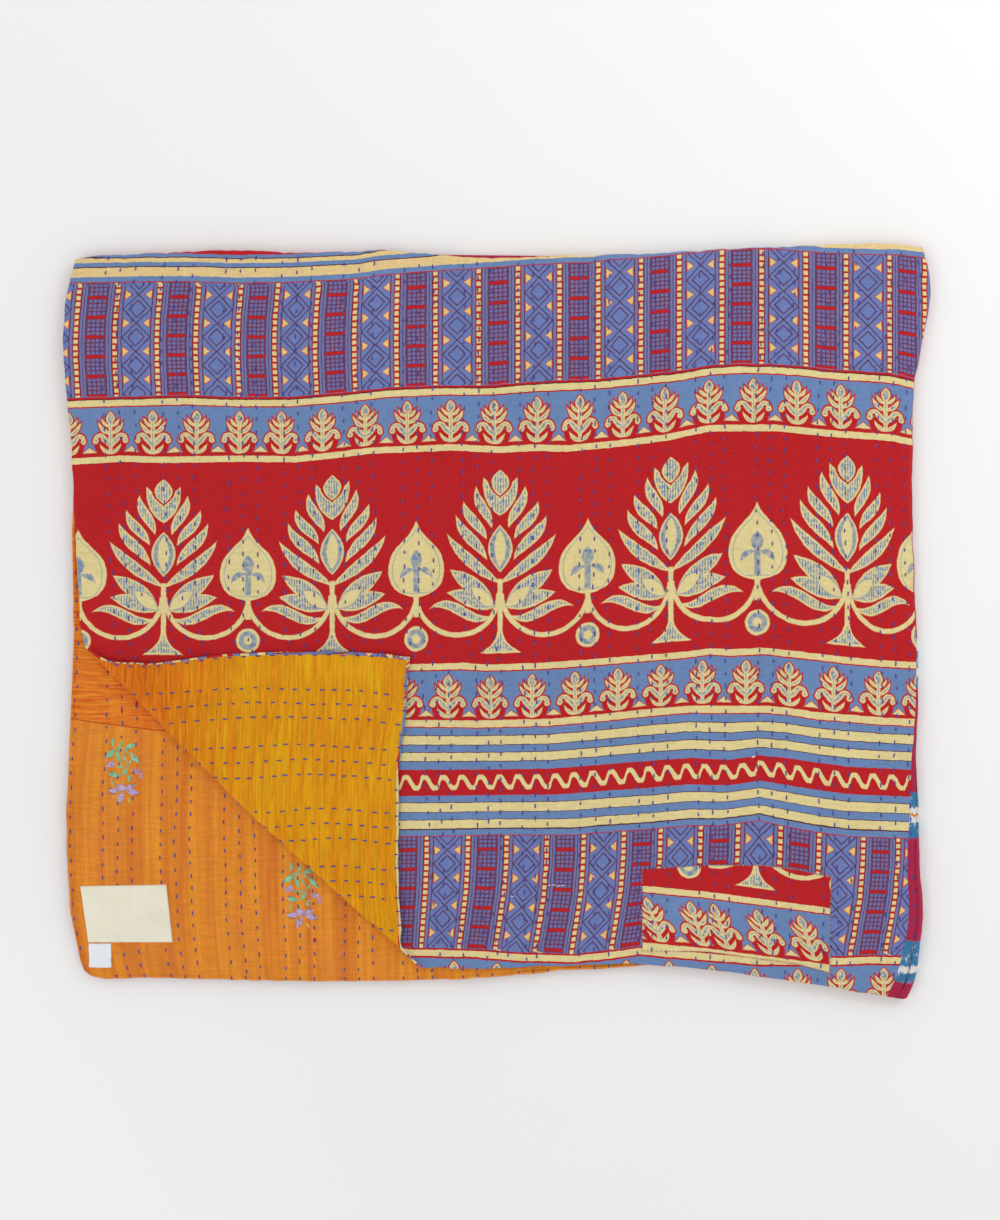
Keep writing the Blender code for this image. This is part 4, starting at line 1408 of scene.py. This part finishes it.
def build_sewn_piece(name, outline, layer, thickness, columns, rows, lift, size):
    """Thin sewn-on cloth whose edges are turned down to the cloth under it."""
    u, v, share, down = sewn_grid(outline, layer, columns, rows)
    side = 1 if layer == 1 else -1
    inward_x = np.minimum(share, 1 - share) / columns[2]
    inward_y = np.minimum(down, 1 - down) / rows[2]
    inward = np.clip(np.minimum(inward_x, inward_y), 0, 1)
    round_edge = np.sqrt(1 - (1 - inward) ** 2)
    height = face_height(u, v, side) + side * (0.0001 + (PIECE_GAP + thickness - 0.0001) * round_edge)
    height += side * lift(share, down) * round_edge
    points = place(u, v, height)
    wide = len(columns)
    faces = []
    for r in range(len(rows) - 1):
        for c in range(wide - 1):
            a = r * wide + c
            faces.append((a, a + wide, a + wide + 1, a + 1))
    thing, corner = add_piece(name, points, faces)
    add_uv(thing.data, "Cloth", np.column_stack((share * size[0], (1 - down) * size[1])), corner)
    return thing


def threads(name, centre_u, centre_v, run_u, run_v, side, lift, radius, sink=0.0005):
    """Short threads as one joined mesh, each arched over the cloth with its ends drawn in."""
    stations = np.array((-1, -0.82, -0.4, 0, 0.4, 0.82, 1))
    sides = 6
    count = len(centre_u)
    u = centre_u[:, None] + run_u[:, None] * stations / 2
    v = centre_v[:, None] + run_v[:, None] * stations / 2
    flat_u = u.ravel()
    flat_v = v.ravel()
    arch = np.tile(1 - stations ** 4, count)
    lift_each = np.repeat(lift, len(stations))
    base = face_height(flat_u, flat_v, side) + side * lift_each
    height = base + side * (0.55 * radius * arch - sink * (1 - arch))
    middle = place(flat_u, flat_v, height)
    above = place(flat_u, flat_v, height + side * 0.0004)
    middle = middle.reshape(count, len(stations), 3)
    normal = above.reshape(count, len(stations), 3) - middle
    tangent = np.gradient(middle, axis=1)
    across = np.cross(tangent, normal)
    across /= np.linalg.norm(across, axis=2, keepdims=True) + 1e-12
    normal = np.cross(across, tangent)
    normal /= np.linalg.norm(normal, axis=2, keepdims=True) + 1e-12
    width = radius * np.array((0.25, 0.8, 1, 1.05, 1, 0.8, 0.25))
    angle = np.arange(sides) * 2 * np.pi / sides
    ring = (across[:, :, None, :] * np.cos(angle)[None, None, :, None]
            + 0.8 * normal[:, :, None, :] * np.sin(angle)[None, None, :, None])
    points = middle[:, :, None, :] + ring * width[None, :, None, None]
    index = np.arange(count * len(stations) * sides).reshape(count, len(stations), sides)
    turned = np.roll(index, -1, axis=2)
    quads = np.stack((index[:, :-1], turned[:, :-1], turned[:, 1:], index[:, 1:]), axis=-1)
    faces = quads.reshape(-1, 4).tolist() + index[:, 0, ::-1].tolist() + index[:, -1].tolist()
    return add_piece(name, points.reshape(-1, 3), faces)[0]


def row_stitches(start, end, first_row, last_row, length, on_back):
    """Centres, lengths and lean of the stitches of each row between two distances up the cloth."""
    parts = []
    for number in range(first_row, last_row):
        pitch = ROW_PITCH[number]
        offset = ROW_PHASE[number] + (0.5 if on_back else 0)
        low = int(np.ceil(start / pitch - offset))
        high = int(np.floor(end / pitch - offset))
        v = (np.arange(low, high + 1) + offset) * pitch
        v = v + CHANCE.normal(0, 0.0006, len(v))
        u = ROWS[number] + wander(np.full_like(v, ROWS[number]), v) + CHANCE.normal(0, 0.00025, len(v))
        run = length * CHANCE.uniform(0.75, 1.25, len(v))
        lean = CHANCE.normal(0, 0.07, len(v)) * run
        parts.append(np.column_stack((u, v, run, lean)))
    return np.vstack(parts)


def past_crease(u, v):
    """Distance of a place on layer 1 past the start of the turned-back corner's roll."""
    return past_roll(*layer_one_plan(u, v))


def patch_cover(u, v):
    """Height that the patch adds over places on layer 1."""
    x, y = layer_one_plan(u, v)
    top = np.array(PATCH["top"]) * MM
    bottom = np.array(PATCH["bottom"]) * MM
    inside = (x > top[0, 0]) & (x < top[-1, 0])
    inside &= (y < np.interp(x, top[:, 0], top[:, 1])) & (y > np.interp(x, bottom[:, 0], bottom[:, 1]))
    return np.where(inside, PIECE_GAP + PATCH_THICKNESS, 0)


def stitch_table(u, v, up_run, across_run):
    """Table of stitches from their places and their runs up and across the cloth."""
    return np.column_stack(np.broadcast_arrays(u, v, up_run, across_run))


def sew(name, table, side, lift, radius=THREAD_RADIUS):
    """Threads from a table of u, v, run along v and run along u."""
    return threads(name, table[:, 0], table[:, 1], table[:, 3], table[:, 2], side, lift, radius)


def patch_lift(share, down):
    """Slight waves of the patch between its stitches."""
    return 0.00015 * np.sin(share * 40) * np.sin(down * 9 + 1)


def label_lift(share, down):
    """Slight waves of the label."""
    return 0.0003 * np.sin(share * 9 + 1) * np.sin(down * 6) + 0.0005 * (1 - down) * share


def tag_lift(share, down):
    """The care tag's loose lower end stands up a little."""
    return 0.0012 * down ** 2 + 0.0003 * np.sin(share * 5)


def dress(piece, finish):
    """Give a piece its material."""
    piece.data.materials.append(finish)


def add_patch_print(mesh):
    """Print places on the patch's two pieces, and the band of the print on each face."""
    points = np.array([vert.co for vert in mesh.vertices])
    x = points[:, 0] / UNIT + UNIT_ORIGIN[0]
    y = UNIT_ORIGIN[1] - points[:, 1] / UNIT
    down = 667 + y - np.interp(x, (640, 709, 830), (889, 895.5, 911.5))
    values = np.empty((len(mesh.loops), 2))
    for face in mesh.polygons:
        corners = list(face.vertices)
        second = np.mean(x[corners]) > PATCH_JOIN
        plants = np.mean(down[corners]) > 667
        for loop in face.loop_indices:
            number = mesh.loops[loop].vertex_index
            if plants:
                right = x[number] - 0.36 * (down[number] - 700) - (722 if second else 655) + 404
            else:
                right = x[number] - (756 if second else 689) + (162 if second else 76.25)
            values[loop] = (right, down[number])
        face.material_index = 1 if plants else 0
    layer = mesh.uv_layers.new(name="Print")
    layer.data.foreach_set("uv", values.astype(np.float32).ravel())


def satin(start, end, width, count):
    """Ends of threads laid side by side in the shape of a leaf or petal, in print units."""
    start = np.array(start, dtype=float)
    end = np.array(end, dtype=float)
    middle = (start + end) / 2
    half = (end - start) / 2
    aside = np.array((-half[1], half[0])) / np.hypot(*half)
    offset = np.linspace(-1, 1, count) if count > 1 else np.zeros(1)
    reach = 1 - 0.75 * np.abs(offset) ** 1.4
    centre = middle + aside * (offset * width / 2)[:, None]
    return np.hstack((centre - half * reach[:, None], centre + half * reach[:, None]))


def embroider(name, shapes, finish, radius):
    """Satin stitches of both sprigs on layer 2."""
    ends = []
    for shift in SPRIG_PLACES:
        for shape in shapes:
            ends.append(satin(*shape) + np.tile(shift, 2))
    ends = np.vstack(ends)
    spots = []
    for column in (0, 2):
        x = (ends[:, column] - UNIT_ORIGIN[0]) * UNIT - CENTRING[0]
        y = (UNIT_ORIGIN[1] - ends[:, column + 1]) * UNIT - CENTRING[1]
        spots.append(cloth_place(2, x, y))
    (u0, v0), (u1, v1) = spots
    piece = threads(name, (u0 + u1) / 2, (v0 + v1) / 2, u1 - u0, v1 - v0, -1,
                    np.full(len(u0), 0.0001), radius, 0.0002)
    dress(piece, finish)


print_cloth, print_u, print_v, print_turn = build_print_cloth()
print_bands = build_print_materials()
gold_cotton = build_gold_cotton()
orange_cotton = build_orange_cotton()
for _, band_finish in print_bands:
    print_cloth.data.materials.append(band_finish)
print_cloth.data.materials.append(orange_cotton)
print_level = print_place(print_u, print_v)[:, 1]
band_ends = np.array([end for end, _ in print_bands])
for face in print_cloth.data.polygons:
    corners = list(face.vertices)
    rolled_hem = np.min(print_turn[corners]) < 0.9 and np.mean(print_v[corners]) > FLAT_HEIGHT + TOP_ARC
    band = int(np.searchsorted(band_ends, np.mean(print_level[corners])))
    face.material_index = len(print_bands) if rolled_hem else band
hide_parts("quilt")

ikat_cloth = build_ikat_cloth()[0]
dress(ikat_cloth, build_ikat_cotton())

gold_backing = build_gold_backing()[0]
dress(gold_backing, gold_cotton)

orange_backing = build_orange_backing()[0]
dress(orange_backing, orange_cotton)

# Stitches on the print, on the turned-back corner and on layer 2's backing. Those on the two
# backings also go along their hems.
shown = row_stitches(0.004, FLAT_HEIGHT - 0.002, 0, len(ROWS), PRINT_STITCH, False)
shown = shown[past_crease(shown[:, 0], shown[:, 1]) < 0]
print_stitches = sew("print_stitches", shown, 1, patch_cover(shown[:, 0], shown[:, 1]))

hem_run = np.arange(0.008, 0.262, 0.0125)
corner = np.vstack((
    row_stitches(0.006, GOLD_HEIGHT, 0, GOLD_ROWS, GOLD_STITCH, True),
    stitch_table(0.0034 + CHANCE.normal(0, 0.0003, len(hem_run)), hem_run, 0.0042, 0.0),
    stitch_table(ROWS[:GOLD_ROWS], 0.0016 + CHANCE.uniform(0, 0.0008, GOLD_ROWS), 0.0036, 0.0),
))
corner = corner[(past_crease(corner[:, 0], corner[:, 1]) > 0.003) & (corner[:, 0] < GOLD_WIDTH)]
gold_stitches = sew("gold_stitches", corner, -1, np.zeros(len(corner)))

hem_run = OPEN_HEIGHT - np.arange(0.022, 0.356, 0.0128)
hem_up = OPEN_HEIGHT - 0.0014
under = np.vstack((
    row_stitches(OPEN_HEIGHT - 0.360, OPEN_HEIGHT - 0.006, 0, ORANGE_ROWS, ORANGE_STITCH, True),
    stitch_table(0.0036 + CHANCE.normal(0, 0.0004, len(hem_run)), hem_run, 0.0036, 0.0),
    stitch_table(ROWS[:ORANGE_HEM_ROWS], hem_up - CHANCE.uniform(0, 0.0008, ORANGE_HEM_ROWS),
                 0.0032, 0.0),
))
orange_stitches = sew("orange_stitches", under, -1, np.zeros(len(under)), ORANGE_THREAD)
indigo = build_thread("indigo_thread", tone(44, 34, 122), tone(80, 68, 166))
for piece in (print_stitches, gold_stitches, orange_stitches):
    dress(piece, indigo)

patch = build_sewn_piece("patch_cloth", PATCH, 1, PATCH_THICKNESS, edged(0.006, 75),
                         edged(0.014, 32), patch_lift, PATCH_SIZE)
patch.data.materials.append(print_bands[2][1])
patch.data.materials.append(print_bands[3][1])
add_patch_print(patch.data)
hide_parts("print_patch")

label = build_sewn_piece("label_cloth", LABEL, 2, LABEL_THICKNESS, edged(0.012, 30),
                         edged(0.018, 20), label_lift, LABEL_SIZE)
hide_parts("label")
dress(label, build_label_cotton())

care_tag = build_sewn_piece("care_tag_cloth", CARE_TAG, 2, LABEL_THICKNESS, edged(0.03, 12),
                            edged(0.03, 12), tag_lift, CARE_TAG_SIZE)
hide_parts("care_tag")
dress(care_tag, build_tag_satin())

# Whip stitches round the patch, along its upper and lower edges and then up its two sides
edge_u, edge_v = sewn_grid(PATCH, 1, np.linspace(0.004, 0.996, 61), np.array((0.0, 1.0)))[:2]
side_u, side_v = sewn_grid(PATCH, 1, np.array((0.0, 1.0)), np.linspace(0.03, 0.97, 22))[:2]
whip = np.vstack((
    stitch_table(edge_u, edge_v, 0.0022, 0.0006),
    stitch_table(side_u, side_v, 0.0006, 0.0022),
))
patch_stitches = sew("patch_stitches", whip, 1, np.full(len(whip), 0.0005), WHIP_THREAD)
rose_thread = build_thread("rose_thread", tone(150, 70, 110), tone(214, 170, 160))
dress(patch_stitches, rose_thread)

# White darning threads on the print
darn_x = (np.array(DARNS)[:, 0] - UNIT_ORIGIN[0]) * UNIT
darn_y = (UNIT_ORIGIN[1] - np.array(DARNS)[:, 1]) * UNIT
darns = stitch_table(*cloth_place(1, darn_x, darn_y), 0.0005, 0.0030)
darn_threads = sew("darn_threads", darns, 1, np.full(len(DARNS), 0.0001), DARN_THREAD)
white_thread = build_thread("white_thread", tone(226, 220, 210), tone(246, 242, 236))
dress(darn_threads, white_thread)

# Embroidery: each row is a piece, its shapes, its thread's two colours and radius
for name, shapes, thread_name, low, high, radius in (
        ("sprig_leaves", SPRIG_LEAVES, "mint_thread", (106, 184, 142), (158, 224, 184), 0.00040),
        ("sprig_petals", SPRIG_PETALS, "lilac_thread", (166, 144, 190), (214, 190, 222), 0.00042),
        ("sprig_sepals", SPRIG_SEPALS, "straw_thread", (222, 168, 60), (240, 196, 90), 0.00036),
        ("sprig_outlines", SPRIG_OUTLINES, "slate_thread", (96, 100, 120), (130, 128, 150), 0.00026),
):
    embroider(name, shapes, build_thread(thread_name, tone(*low), tone(*high)), radius)


def build_floor():
    """Plain pale floor."""
    mesh = bpy.data.meshes.new("floor")
    half = FLOOR_SIZE / 2
    corners = [(-half, -half, 0), (half, -half, 0), (half, half, 0), (-half, half, 0)]
    mesh.from_pydata(corners, [], [(0, 1, 2, 3)])
    floor = bpy.data.objects.new("floor", mesh)
    bpy.context.collection.objects.link(floor)
    floor.data.materials.append(build_floor_finish())


def add_light(name, location, size, energy, colour):
    """Soft square light that points at the quilt."""
    data = bpy.data.lights.new(name, "AREA")
    data.size = size
    data.energy = energy
    data.color = colour
    light = bpy.data.objects.new(name, data)
    light.location = location
    aim = -np.array(location)
    yaw = np.arctan2(aim[0], -aim[1])
    pitch = np.arctan2(np.hypot(aim[0], aim[1]), -aim[2])
    light.rotation_euler = (pitch, 0, yaw)
    bpy.context.collection.objects.link(light)


build_floor()
add_light("key light", (2.6, 2.2, 3.6), 1.8, 410, (1, 0.99, 0.97))
add_light("fill light", (-2.6, -1.4, 3.6), 3.0, 90, (0.97, 0.985, 1))
world = bpy.data.worlds.new("room")
world.use_nodes = True
world.node_tree.nodes["Background"].inputs["Color"].default_value = (1, 1, 1, 1)
world.node_tree.nodes["Background"].inputs["Strength"].default_value = 0.85
bpy.context.scene.world = world
bpy.context.scene.view_settings.view_transform = "Standard"

camera_data = bpy.data.cameras.new("camera")
camera_data.sensor_fit = "AUTO"
camera_data.sensor_width = 36
camera_data.lens = 85.6
camera = bpy.data.objects.new("camera", camera_data)
camera.location = (0.0022, 0.0099, 2.616)
camera.rotation_euler = (0, 0, 0)
bpy.context.collection.objects.link(camera)
bpy.context.scene.camera = camera
